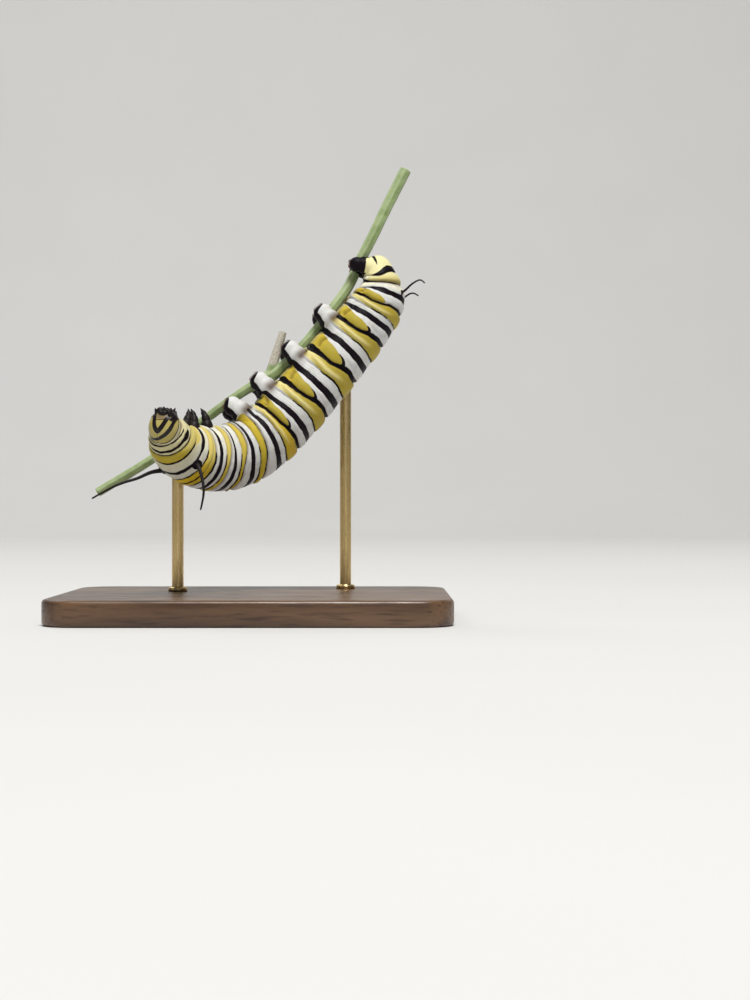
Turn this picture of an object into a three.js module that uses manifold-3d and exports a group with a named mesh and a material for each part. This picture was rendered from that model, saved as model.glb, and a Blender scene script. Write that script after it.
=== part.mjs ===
// A monarch butterfly's larva climbing down a milkweed stem, still, at life size, on a small display stand.
// Millimetres, +Z up, +Y away from the viewer. The origin is the centre of the stand's underside.
// The body is a row of plump rings bent along one centreline. From head to tail there are the head,
// three thorax rings with a pair of legs each, and ten abdomen rings with prolegs on the third to
// sixth and on the last.
import * as THREE from "three";
import { mergeVertices } from "three/addons/utils/BufferGeometryUtils.js";
import Module from "manifold-3d";

const wasm = await Module();
wasm.setup();

// Driving dimensions
const gap = 0.3;                       // between neighbouring pieces
const bodyRadius = 3.9;                // about that of the first rings of the abdomen
const sides = 24;                      // faces around a body ring
const foldDepth = 0.24;                // how far the fold between two rings dips
const foldWidth = 0.5;                 // along the body, from the fold's middle to its lip
const bellyShare = 0.95;               // the belly is this much flatter than the back
const borderShare = 0.535;             // place of a fold between two main black bands
const frontBorderShare = 0.3;          // the first thorax ring ends nearer to its black band
const tailLength = 0.8;                // of the rounded end behind the last station
const tailStart = 0.9;                 // the rounding starts this far before the last station
const tailBluntness = 2.5;             // 2 is a plain ellipse, more is blunter
const headHalfWidth = 1.84;
const headHalfDepth = 1.5;             // from the face to the back of the head
const headHalfHeight = 2;              // from the crown to the mouth
const headLobeOffset = 0.22;           // each half of the head stands this far off the middle
const antennaLength = 0.75;
const antennaRadius = 0.26;
const antennaTipRadius = 0.17;
const filamentRadius = 0.27;
const filamentTipRadius = 0.13;
const stemRadius = 0.74;
const stemTaper = 0.17;                // the lower half of the stem is this much thinner
const jointShare = 0.557;              // place of the stem's swollen joint along it
const jointSwelling = 0.26;
const jointHalfLength = 0.035;         // as a share of the stem
const stubLength = 5.6;                // of the cut leaf stalk at the joint
const stubRadius = 0.48;
const baseLength = 46;
const baseWidth = 31;
const baseThickness = 3;
const baseCorner = 4;
const baseBevel = 0.4;
const rodRadius = 0.7;
const armRadius = 0.6;
const shortRodX = -9.6;
const tallRodX = 10.5;
const tallRodY = 9.5;

// Body stations: the middle of each ring's main black band, its radius as a share of bodyRadius and
// a hint of the direction of the back there. The head end curls up and towards the viewer.
const stations = [
  { name: "neck", at: [-9.65, -7.5, 21.9], radius: 0.535, back: [-0.35, -0.45, -0.8] },
  { name: "thorax_1", at: [-9.3, -6.65, 21.25], radius: 0.65, back: [-0.28, -0.47, -0.83] },
  { name: "thorax_2", at: [-8.45, -4.6, 19.95], radius: 0.82, back: [-0.11, -0.46, -0.86] },
  { name: "thorax_3", at: [-6.45, -2.1, 19.15], radius: 0.95, back: [0.02, -0.28, -0.95] },
  { name: "abdomen_1", at: [-4.4, -0.3, 19], radius: 1.01, back: [0.2, -0.15, -0.97] },
  { name: "abdomen_2", at: [-1.85, 1.1, 19.7], radius: 1.02, back: [0.42, -0.05, -0.9] },
  { name: "abdomen_3", at: [0.75, 2, 21.45], radius: 1.01, back: [0.65, 0, -0.76] },
  { name: "abdomen_4", at: [3.35, 2.5, 24], radius: 0.99, back: [0.72, 0, -0.69] },
  { name: "abdomen_5", at: [6.75, 3.3, 27.9], radius: 0.96, back: [0.74, 0, -0.67] },
  { name: "abdomen_6", at: [10.55, 4.1, 32.5], radius: 0.925, back: [0.76, 0, -0.65] },
  { name: "abdomen_7", at: [13.25, 4.8, 36.05], radius: 0.875, back: [0.88, 0, -0.47] },
  { name: "abdomen_8", at: [14.8, 5.4, 39.25], radius: 0.735, back: [0.98, 0, -0.2] },
  { name: "abdomen_9", at: [14.6, 5.7, 41.2], radius: 0.535, back: [1, 0, 0] },
  { name: "abdomen_10", at: [14, 6, 42.9], radius: 0.43, back: [1, 0, 0.15] },
];

// The stem's middle line, from the upper cut to the lower one
const stemLine = [
  [17.9, 8.8, 54.8], [15.3, 7.9, 49.5], [13.85, 7.5, 46.4], [12.25, 7, 43.2], [11, 6, 40.25],
  [8.7, 4.5, 36.8], [5.95, 3.7, 33.2], [2.35, 3, 29.5], [-1.9, 2.5, 26.85], [-6.9, 3, 23.25],
  [-12.4, 3.8, 19.2], [-19.45, 4.7, 14.95],
];

// Black feelers: two long ones behind the head and two short ones near the tail
const filamentLines = {
  filament_front_right: [
    [-6.6, -5.7, 18.45], [-6, -6.7, 17.7], [-5.45, -7.5, 15.95], [-5.35, -7.8, 14.75],
    [-5.5, -7.9, 13.7], [-5.7, -7.8, 12.85],
  ],
  filament_front_left: [
    [-9.55, -3.8, 17.55], [-11.7, -4.8, 17.2], [-13.25, -5.3, 16.5], [-14.65, -5.6, 16.05],
    [-15.9, -5.7, 15.55], [-17.25, -5.6, 14.85], [-18.5, -5.4, 14.15],
  ],
  filament_rear_right: [
    [16.7, 4.5, 38.95], [17.65, 3.6, 39.2], [18.7, 2.9, 40.05], [19.6, 2.5, 40.4], [20.15, 2.3, 40],
  ],
  filament_rear_left: [
    [16.75, 6.5, 38.35], [17.6, 7.3, 38.8], [18.45, 7.8, 39.4], [18.95, 8.1, 39.5], [19.55, 8.3, 39.2],
  ],
};

// Prolegs and legs. Places are told from the ring's station: behind it along the body, down from the
// centreline towards the belly, and out from the middle plane.
const prolegs = {
  proleg_3: { ring: "abdomen_3", root: [0, 2.2, 1.9], knee: [-0.25, 4.6, 1.8], foot: [-1, 6, 1.4] },
  proleg_4: { ring: "abdomen_4", root: [0.8, 2.2, 1.9], knee: [0.8, 4.4, 1.75], foot: [0.85, 6, 1.4] },
  proleg_5: { ring: "abdomen_5", root: [0.9, 2.1, 1.9], knee: [0.95, 4.1, 1.75], foot: [1.35, 5.7, 1.4] },
  proleg_6: { ring: "abdomen_6", root: [0.9, 2, 1.9], knee: [1.0, 3.9, 1.75], foot: [1.45, 5.5, 1.4] },
  anal_proleg: { ring: "abdomen_10", root: [-0.5, 0.5, 1], knee: [0, 1.5, 1.25], foot: [0.7, 2.9, 1.1] },
};
const prolegRadii = { root: 1.3, knee: 1.22, foot: 1 };
const analProlegRadii = { root: 1, knee: 0.95, foot: 0.75 };
const legs = {
  leg_1: { ring: "thorax_1", root: [0.35, 1.3, 1], knee: [0.35, 3, 1.35], foot: [-0.15, 4, 0.85] },
  leg_2: { ring: "thorax_2", root: [0.3, 1.9, 1.3], knee: [0.3, 3.8, 1.6], foot: [-0.3, 4.9, 1] },
  leg_3: { ring: "thorax_3", root: [0.2, 2.6, 1.3], knee: [0.1, 4.4, 1.65], foot: [-0.5, 5.5, 1.1] },
};
const legRadii = { root: 0.7, knee: 0.52, foot: 0.3 };

// Mouthparts, as eggs in the head's own frame: X its right, Y the way the face looks, Z the crown.
// Those with a side come in pairs.
const mouthparts = [
  { name: "upper lip", at: [0, 0.95, -1.6], half: [0.62, 0.3, 0.38], pair: false },
  { name: "jaw", at: [0.42, 0.6, -1.8], half: [0.42, 0.38, 0.42], pair: true },
  { name: "palp", at: [0.45, 0.05, -1.9], half: [0.28, 0.28, 0.34], pair: true },
  { name: "spinneret", at: [0, 0.05, -1.95], half: [0.3, 0.28, 0.3], pair: false },
];
const antennaRoot = [0.8, 0.7, -1.25];
const antennaLean = [0.25, 0.55, -0.9];

// Materials
const materials = {
  skin: new THREE.MeshStandardMaterial({ color: 0xd8d3b4, roughness: 0.55, metalness: 0 }),
  horn: new THREE.MeshStandardMaterial({ color: 0x17131a, roughness: 0.4, metalness: 0 }),
  head: new THREE.MeshStandardMaterial({ color: 0xb8a552, roughness: 0.4, metalness: 0 }),
  stem: new THREE.MeshStandardMaterial({ color: 0x7d9a58, roughness: 0.7, metalness: 0 }),
  wood: new THREE.MeshStandardMaterial({ color: 0x5b3c26, roughness: 0.5, metalness: 0 }),
  brass: new THREE.MeshStandardMaterial({ color: 0xb08d4a, roughness: 0.35, metalness: 1 }),
};

const larva = new THREE.Group();
const stand = new THREE.Group();
const specimen = new THREE.Group();
specimen.add(larva, stand);

// Vectors and small helpers
const vector = (xyz) => new THREE.Vector3(...xyz);
const mix = THREE.MathUtils.lerp;

// Natural cubic spline through rows of numbers, one row at each knot
function spline(knots, rows) {
  const count = knots.length;
  const width = rows[0].length;
  const bend = rows.map(() => new Array(width).fill(0));
  const step = knots.slice(1).map((knot, i) => knot - knots[i]);
  for (let column = 0; column < width; column += 1) {
    const diagonal = new Array(count).fill(1);
    const right = new Array(count).fill(0);
    for (let i = 1; i < count - 1; i += 1) {
      const before = i > 1 ? step[i - 1] / diagonal[i - 1] : 0;
      const slope = (rows[i + 1][column] - rows[i][column]) / step[i];
      const slopeBefore = (rows[i][column] - rows[i - 1][column]) / step[i - 1];
      diagonal[i] = 2 * (step[i - 1] + step[i]) - before * (i > 1 ? step[i - 1] : 0);
      right[i] = 6 * (slope - slopeBefore) - before * right[i - 1];
    }
    for (let i = count - 2; i > 0; i -= 1) {
      bend[i][column] = (right[i] - step[i] * bend[i + 1][column]) / diagonal[i];
    }
  }
  return (place) => {
    let i = 0;
    while (i < count - 2 && place > knots[i + 1]) {
      i += 1;
    }
    const a = knots[i + 1] - place;
    const b = place - knots[i];
    const h = step[i];
    return rows[i].map((low, column) => {
      const high = rows[i + 1][column];
      const curveLow = bend[i][column];
      const curveHigh = bend[i + 1][column];
      return (curveLow * a ** 3 + curveHigh * b ** 3) / (6 * h)
        + (low / h - (curveLow * h) / 6) * a + (high / h - (curveHigh * h) / 6) * b;
    });
  };
}

// Knots at the straight distances between the points
function chordKnots(points) {
  const knots = [0];
  for (let i = 1; i < points.length; i += 1) {
    knots.push(knots[i - 1] + vector(points[i]).distanceTo(vector(points[i - 1])));
  }
  return knots;
}

// Centreline of the body
const stationPoints = stations.map((station) => station.at);
const stationKnots = chordKnots(stationPoints);
const centreAt = spline(stationKnots, stationPoints);
const backAt = spline(stationKnots, stations.map((station) => station.back));
const shareAt = spline(stationKnots, stations.map((station) => [station.radius]));
const placeOf = Object.fromEntries(stations.map((station, i) => [station.name, stationKnots[i]]));
const tailPlace = placeOf.abdomen_10 + tailLength;

// Frame of the body: left, along (towards the tail) and back make a right-handed set
function bodyFrame(place) {
  const centre = vector(centreAt(place));
  const along = vector(centreAt(place + 0.01)).sub(vector(centreAt(place - 0.01))).normalize();
  const back = vector(backAt(place));
  back.addScaledVector(along, -back.dot(along)).normalize();
  const left = new THREE.Vector3().crossVectors(along, back);
  return { centre, left, along, back };
}

// Smooth radius of the body, closing in a round end at the tail
function radiusAt(place) {
  const roundStart = placeOf.abdomen_10 - tailStart;
  const share = THREE.MathUtils.clamp((place - roundStart) / (tailPlace - roundStart), 0, 1);
  const smoothPlace = Math.min(place, placeOf.abdomen_10);
  return bodyRadius * shareAt(smoothPlace)[0] * Math.sqrt(1 - share ** tailBluntness);
}

// Bends a geometry turned about its Y axis along the body: its Y is the place on the centreline
function bendAlongBody(geometry) {
  const points = geometry.attributes.position;
  for (let i = 0; i < points.count; i += 1) {
    const { centre, left, back } = bodyFrame(points.getY(i));
    const up = points.getZ(i);
    centre.addScaledVector(left, points.getX(i));
    centre.addScaledVector(back, up < 0 ? up * bellyShare : up);
    points.setXYZ(i, centre.x, centre.y, centre.z);
  }
  return geometry;
}

// Profile turned about the Y axis, closed on the axis at both ends. Each row is [radius, place].
function turned(rows, faces) {
  const profile = rows.map(([radius, place]) => new THREE.Vector2(radius, place));
  return new THREE.LatheGeometry(profile, faces);
}

// Bends a turned geometry along a free curve by frames that don't twist
function bendAlongCurve(geometry, curve, steps) {
  const frames = curve.computeFrenetFrames(steps);
  const points = geometry.attributes.position;
  for (let i = 0; i < points.count; i += 1) {
    const share = THREE.MathUtils.clamp(points.getY(i), 0, 1);
    const k = Math.min(Math.round(share * steps), steps);
    const point = curve.getPointAt(share);
    point.addScaledVector(frames.binormals[k], points.getX(i));
    point.addScaledVector(frames.normals[k], points.getZ(i));
    points.setXYZ(i, point.x, point.y, point.z);
  }
  return geometry;
}

// A round limb along a curve whose radius follows radiusOf(share), with domed ends
function limb(curve, radiusOf, steps, faces) {
  const rows = [[0, 0]];
  for (let k = 0; k <= steps; k += 1) {
    rows.push([radiusOf(k / steps), k / steps]);
  }
  rows.push([0, 1]);
  return bendAlongCurve(turned(rows, faces), curve, steps);
}

// Booleans
function solid(geometry) {
  const plain = geometry.index ? geometry.toNonIndexed() : geometry.clone();
  plain.deleteAttribute("normal");
  plain.deleteAttribute("uv");
  const merged = mergeVertices(plain, 1e-5);
  const triVerts = [];
  const index = merged.index.array;
  for (let i = 0; i < index.length; i += 3) {
    const [a, b, c] = [index[i], index[i + 1], index[i + 2]];
    if (a !== b && b !== c && c !== a) {
      triVerts.push(a, b, c);
    }
  }
  return new wasm.Manifold(new wasm.Mesh({
    numProp: 3,
    vertProperties: new Float32Array(merged.attributes.position.array),
    triVerts: new Uint32Array(triVerts),
  }));
}

// The largest closed body of a cut solid, as a geometry
function geometryOf(shape) {
  const pieces = shape.decompose();
  pieces.sort((a, b) => b.volume() - a.volume());
  const mesh = pieces[0].getMesh();
  const geometry = new THREE.BufferGeometry();
  geometry.setAttribute("position", new THREE.BufferAttribute(new Float32Array(mesh.vertProperties), 3));
  geometry.setIndex(new THREE.BufferAttribute(new Uint32Array(mesh.triVerts), 1));
  geometry.computeVertexNormals();
  return geometry;
}

function addMesh(group, name, material, shape) {
  const mesh = new THREE.Mesh(geometryOf(shape), material);
  mesh.name = name;
  group.add(mesh);
}

// The stem with its slightly swollen joint and the stub of a cut leaf stalk
const stemCurve = new THREE.CatmullRomCurve3(stemLine.map(vector), false, "centripetal");
const stemSteps = 34;
const stemFaces = 10;
const stubFlare = 1.35;                // the stalk is this much thicker at its root
const stubDirection = new THREE.Vector3(0.3, 0.05, 1).normalize();
const stemRadiusAt = (share) => stemRadius - stemTaper * Math.min(1, share * 2)
  + jointSwelling * Math.exp(-(((share - jointShare) / jointHalfLength) ** 2));

function stubAt(extra) {
  const length = stubLength + extra;
  const rootRadius = stubRadius * stubFlare + extra;
  const stub = new THREE.CylinderGeometry(stubRadius + extra, rootRadius, length, stemFaces);
  stub.translate(0, length / 2, 0);
  stub.applyQuaternion(new THREE.Quaternion().setFromUnitVectors(new THREE.Vector3(0, 1, 0), stubDirection));
  const root = stemCurve.getPointAt(jointShare);
  stub.translate(root.x, root.y, root.z);
  return solid(stub);
}

// The stem, fatter by the given amount
function stemShape(extra) {
  const radiusOf = (share) => stemRadiusAt(share) + extra;
  return solid(limb(stemCurve, radiusOf, stemSteps, stemFaces)).add(stubAt(extra));
}

const stem = stemShape(0);
const stemGuard = stemShape(gap);
addMesh(stand, "perch_stem", materials.stem, stem);

// Body rings. The fold between two rings is a plane cut across the body with a dip around it.
const folds = [0];
for (let i = 1; i < stations.length - 1; i += 1) {
  const share = i === 1 ? frontBorderShare : borderShare;
  folds.push(mix(stationKnots[i], stationKnots[i + 1], share));
}
folds.push(tailPlace);
const ringShares = [0, 0.07, 0.2, 0.35, 0.5, 0.65, 0.8, 0.93, 1];

function skinRadius(place) {
  const nearest = Math.min(...folds.slice(0, -1).map((fold) => Math.abs(place - fold)));
  return radiusAt(place) - foldDepth * Math.exp(-((nearest / foldWidth) ** 2));
}

function bodyRing(start, end, round) {
  const rows = [[0, start]];
  ringShares.forEach((share) => {
    const eased = round ? Math.sin((share * Math.PI) / 2) : share;
    rows.push([skinRadius(mix(start, end, eased)), mix(start, end, eased)]);
  });
  if (round) {
    rows[rows.length - 1][0] = 0;
  } else {
    rows.push([0, end]);
  }
  return bendAlongBody(turned(rows, sides));
}

for (let i = 1; i < stations.length; i += 1) {
  const last = i === stations.length - 1;
  const start = folds[i - 1] + gap / 2;
  const end = last ? tailPlace : folds[i] - gap / 2;
  const ring = solid(bodyRing(start, end, last)).subtract(stemGuard);
  addMesh(larva, stations[i].name, materials.skin, ring);
}

// The body as one fatter piece, which whatever grows from it is cut back to
const guardSteps = 60;
const guardRows = [[0, -gap]];
for (let k = 0; k <= guardSteps; k += 1) {
  const place = mix(-gap, tailPlace + gap, k / guardSteps);
  guardRows.push([radiusAt(Math.min(place, tailPlace - gap)) + gap, place]);
}
guardRows.push([0, tailPlace + gap]);
const bodyGuard = solid(bendAlongBody(turned(guardRows, sides)));

// Place told from a ring's station: behind it, down towards the belly and out to one side
function placeFrom(ring, [behind, down, out], side) {
  const { centre, left, along, back } = bodyFrame(placeOf[ring]);
  return centre.addScaledVector(along, behind).addScaledVector(back, -down).addScaledVector(left, side * out);
}

// Radius along a limb of root, knee and foot, closing in a dome at the foot
const domeStart = 0.78;
const limbSteps = 9;
const legFaces = 8;
const prolegFaces = 12;
function limbRadius(radii, share) {
  const dome = share > domeStart ? Math.sqrt(1 - ((share - domeStart) / (1 - domeStart)) ** 2) : 1;
  if (share < 0.5) {
    return mix(radii.root, radii.knee, share * 2);
  }
  return mix(radii.knee, radii.foot, share * 2 - 1) * dome;
}

function growLimbs(table, radiiOf, material, guards, faces) {
  Object.entries(table).forEach(([name, limbPlan]) => {
    [["left", 1], ["right", -1]].forEach(([sideName, side]) => {
      const pointOf = (at) => placeFrom(limbPlan.ring, at, side);
      const points = [limbPlan.root, limbPlan.knee, limbPlan.foot].map(pointOf);
      const curve = new THREE.QuadraticBezierCurve3(...points);
      const radii = radiiOf(name);
      let shape = solid(limb(curve, (share) => limbRadius(radii, share), limbSteps, faces));
      guards.forEach((guard) => {
        shape = shape.subtract(guard);
      });
      addMesh(larva, `${name}_${sideName}`, material, shape);
    });
  });
}

const prolegRadiiOf = (name) => (name === "anal_proleg" ? analProlegRadii : prolegRadii);
growLimbs(prolegs, prolegRadiiOf, materials.skin, [bodyGuard, stemGuard], prolegFaces);
growLimbs(legs, () => legRadii, materials.horn, [bodyGuard], legFaces);

// Feelers, thick at the root and thin at the tip, with a step every half millimetre
const filamentFaces = 8;
const filamentStepsPerMm = 2;
Object.entries(filamentLines).forEach(([name, line]) => {
  const curve = new THREE.CatmullRomCurve3(line.map(vector), false, "centripetal");
  const radiusOf = (share) => mix(filamentRadius, filamentTipRadius, Math.max(0, share * 2 - 1));
  const steps = Math.round(curve.getLength() * filamentStepsPerMm);
  const shape = solid(limb(curve, radiusOf, steps, filamentFaces)).subtract(bodyGuard);
  addMesh(larva, name, materials.horn, shape);
});

// Head: two rounded halves with the mouthparts below the face. In the head's own frame X is its
// right, Y the way the face looks and Z the crown.
const headCentre = vector([-9.72, -8.5, 22.25]);
const faceNormal = vector([-0.4, -0.918, 0.026]).normalize();
const crownHint = vector([-0.178, 0.05, -0.984]);
const crown = crownHint.addScaledVector(faceNormal, -crownHint.dot(faceNormal)).normalize();
const headRight = new THREE.Vector3().crossVectors(faceNormal, crown);
const headMatrix = new THREE.Matrix4().makeBasis(headRight, faceNormal, crown).setPosition(headCentre);

function egg(centre, halfSizes, columns, rows) {
  const geometry = new THREE.SphereGeometry(1, columns, rows);
  geometry.scale(...halfSizes);
  geometry.translate(...centre);
  return solid(geometry.applyMatrix4(headMatrix));
}

// The capsule, fatter by the given amount
function capsule(extra) {
  const half = [headHalfWidth - headLobeOffset, headHalfDepth, headHalfHeight].map((size) => size + extra);
  return egg([headLobeOffset, 0, 0], half, 20, 14).add(egg([-headLobeOffset, 0, 0], half, 20, 14));
}

let head = capsule(0);
mouthparts.forEach(({ at, half, pair }) => {
  const [x, y, z] = at;
  head = head.add(egg([x, y, z], half, 10, 6));
  if (pair) {
    head = head.add(egg([-x, y, z], half, 10, 6));
  }
});
addMesh(larva, "head", materials.head, head.subtract(bodyGuard));

// Antennae: one short cone each side of the mouth
const upright = new THREE.Vector3(0, 1, 0);
const capsuleGuard = capsule(gap);
[["left", -1], ["right", 1]].forEach(([sideName, side]) => {
  const cone = new THREE.CylinderGeometry(antennaTipRadius, antennaRadius, antennaLength, 10);
  cone.translate(0, antennaLength / 2, 0);
  const lean = vector([side * antennaLean[0], antennaLean[1], antennaLean[2]]).normalize();
  cone.applyQuaternion(new THREE.Quaternion().setFromUnitVectors(upright, lean));
  cone.translate(side * antennaRoot[0], antennaRoot[1], antennaRoot[2]);
  const shape = solid(cone.applyMatrix4(headMatrix)).subtract(capsuleGuard);
  addMesh(larva, `antenna_${sideName}`, materials.horn, shape);
});

// Stand: a flat board, a short rod up to the lower part of the stem and a tall one behind the body
// with a short arm to its upper part
function boardShape(length, width, corner) {
  const shape = new THREE.Shape();
  const x = length / 2 - corner;
  const y = width / 2 - corner;
  shape.absarc(x, y, corner, 0, Math.PI / 2, false);
  shape.absarc(-x, y, corner, Math.PI / 2, Math.PI, false);
  shape.absarc(-x, -y, corner, Math.PI, Math.PI * 1.5, false);
  shape.absarc(x, -y, corner, Math.PI * 1.5, Math.PI * 2, false);
  return shape;
}

const board = new THREE.ExtrudeGeometry(
  boardShape(baseLength - 2 * baseBevel, baseWidth - 2 * baseBevel, baseCorner),
  {
    depth: baseThickness - 2 * baseBevel,
    bevelThickness: baseBevel,
    bevelSize: baseBevel,
    bevelSegments: 1,
    curveSegments: 5,
  },
);
board.translate(0, 0, baseBevel);
addMesh(stand, "stand_base", materials.wood, solid(board));

function rodBetween(low, high, radius) {
  const span = high.clone().sub(low);
  const rod = new THREE.CylinderGeometry(radius, radius, span.length(), 16);
  rod.applyQuaternion(new THREE.Quaternion().setFromUnitVectors(upright, span.clone().normalize()));
  const middle = low.clone().addScaledVector(span, 0.5);
  rod.translate(middle.x, middle.y, middle.z);
  return solid(rod);
}

// Point of the stem's line whose X is nearest to the given one
function stemPointAtX(x) {
  let best = stemCurve.getPointAt(0);
  for (let k = 0; k <= 400; k += 1) {
    const point = stemCurve.getPointAt(k / 400);
    best = Math.abs(point.x - x) < Math.abs(best.x - x) ? point : best;
  }
  return best;
}

const rodFoot = baseThickness + gap;
const shortTop = stemPointAtX(shortRodX);
const shortRod = rodBetween(vector([shortTop.x, shortTop.y, rodFoot]), shortTop, rodRadius);
addMesh(stand, "stand_rod_front", materials.brass, shortRod.subtract(stemGuard));

const armEnd = stemPointAtX(tallRodX);
const tallTop = vector([armEnd.x, tallRodY, armEnd.z + armRadius]);
const tallRod = rodBetween(vector([armEnd.x, tallRodY, rodFoot]), tallTop, rodRadius);
addMesh(stand, "stand_rod_back", materials.brass, tallRod);
const armStart = vector([armEnd.x, tallRodY - rodRadius - gap, armEnd.z]);
const arm = rodBetween(armStart, armEnd, armRadius).subtract(stemGuard);
addMesh(stand, "stand_arm_back", materials.brass, arm);

export default specimen;
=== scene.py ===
# %% [markdown]
# # A banded butterfly larva on its stem
# This lesson dresses a finished frame of plain solids, a larva that climbs down a thin green stem
# held on a small wooden stand, until it looks like the living animal. Every shape is a surface
# worked out with numpy on a grid, so the same few formulas can be read, changed and reused.

# %% Load the frame
import math
import bpy
import numpy as np
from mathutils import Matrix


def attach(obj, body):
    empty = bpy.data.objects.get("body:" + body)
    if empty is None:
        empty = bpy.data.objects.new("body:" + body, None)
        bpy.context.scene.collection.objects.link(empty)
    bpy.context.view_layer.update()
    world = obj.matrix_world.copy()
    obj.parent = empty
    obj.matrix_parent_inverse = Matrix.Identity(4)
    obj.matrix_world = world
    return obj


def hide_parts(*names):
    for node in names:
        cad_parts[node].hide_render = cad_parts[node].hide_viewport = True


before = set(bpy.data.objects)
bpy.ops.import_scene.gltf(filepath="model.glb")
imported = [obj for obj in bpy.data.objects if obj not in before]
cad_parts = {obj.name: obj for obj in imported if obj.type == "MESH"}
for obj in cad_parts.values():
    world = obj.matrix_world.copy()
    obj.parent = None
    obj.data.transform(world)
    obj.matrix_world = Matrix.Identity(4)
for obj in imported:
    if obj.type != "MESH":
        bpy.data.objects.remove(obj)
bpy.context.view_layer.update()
MM = 0.001                     # every length below is in millimetres and is scaled as a mesh is made
TAU = 2 * math.pi
print("nodes in the frame:", len(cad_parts))

# %% [markdown]
# The camera comes first. The animal was seen from the side at a flat angle, so the camera stands
# level, 200 mm in front of the middle of the body and 14 mm above the floor. A 60 mm lens then puts
# 120 mm of the middle plane on the long side of the picture.

# %% Camera
CAMERA_AT = (14.16, -197.5, 14.0)
CAMERA_LENS = 60
camera_data = bpy.data.cameras.new("camera")
camera_data.lens = CAMERA_LENS
camera_data.clip_start = 0.005
camera = bpy.data.objects.new("camera", camera_data)
camera.location = [c * MM for c in CAMERA_AT]
camera.rotation_euler = (math.pi / 2, 0, 0)
bpy.context.scene.collection.objects.link(camera)
bpy.context.scene.camera = camera
bpy.context.scene.view_settings.view_transform = "Standard"
print("camera stands at", CAMERA_AT, "mm")

# %% [markdown]
# Next come the small tools. One turns a grid of points into a closed mesh and keeps any numbers
# that belong to the points, so that a material can read them later. The other writes shader nodes
# in one line each. Both keep the rest of the lesson about the animal itself.

# %% Grid to mesh
def smooth_mesh(name, points, faces, values=None):
    """Makes an object of points in millimetres and rows of corner numbers, with values kept on the points."""
    mesh = bpy.data.meshes.new(name)
    mesh.from_pydata((np.asarray(points) * MM).tolist(), [], [list(f) for f in faces])
    mesh.polygons.foreach_set("use_smooth", np.ones(len(mesh.polygons), dtype=bool))
    for key, numbers in (values or {}).items():
        layer = mesh.attributes.new(key, "FLOAT", "POINT")
        layer.data.foreach_set("value", np.asarray(numbers, dtype=np.float32).ravel())
    mesh.update()
    piece = bpy.data.objects.new(name, mesh)
    bpy.context.scene.collection.objects.link(piece)
    return piece


def tube_faces(rings, around):
    """Quads between rings of equally many points, closed around, and one face over each end."""
    row = np.arange(rings - 1)[:, None] * around
    col = np.arange(around)[None, :]
    after = (col + 1) % around
    quads = np.stack([row + col, row + after, row + around + after, row + around + col], -1)
    first = list(range(around))[::-1]
    last = list(range((rings - 1) * around, rings * around))
    return quads.reshape(-1, 4).tolist() + [first, last]


def flat_ends(piece):
    """Shades the faces over the ends flat, so that a cut looks crisp. They have more than four corners."""
    smooth = np.array([len(p.vertices) == 4 for p in piece.data.polygons], dtype=bool)
    piece.data.polygons.foreach_set("use_smooth", smooth)


def finish(piece, material, slot, *nodes):
    """Gives a piece its finish, lets it move with the body and hides the solids it stands for."""
    piece.data.materials.clear()
    piece.data.materials.append(material)
    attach(piece, "root")
    if nodes:
        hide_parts(*nodes)
    print(piece.name, "has", len(piece.data.polygons), "faces")
    return piece


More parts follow.
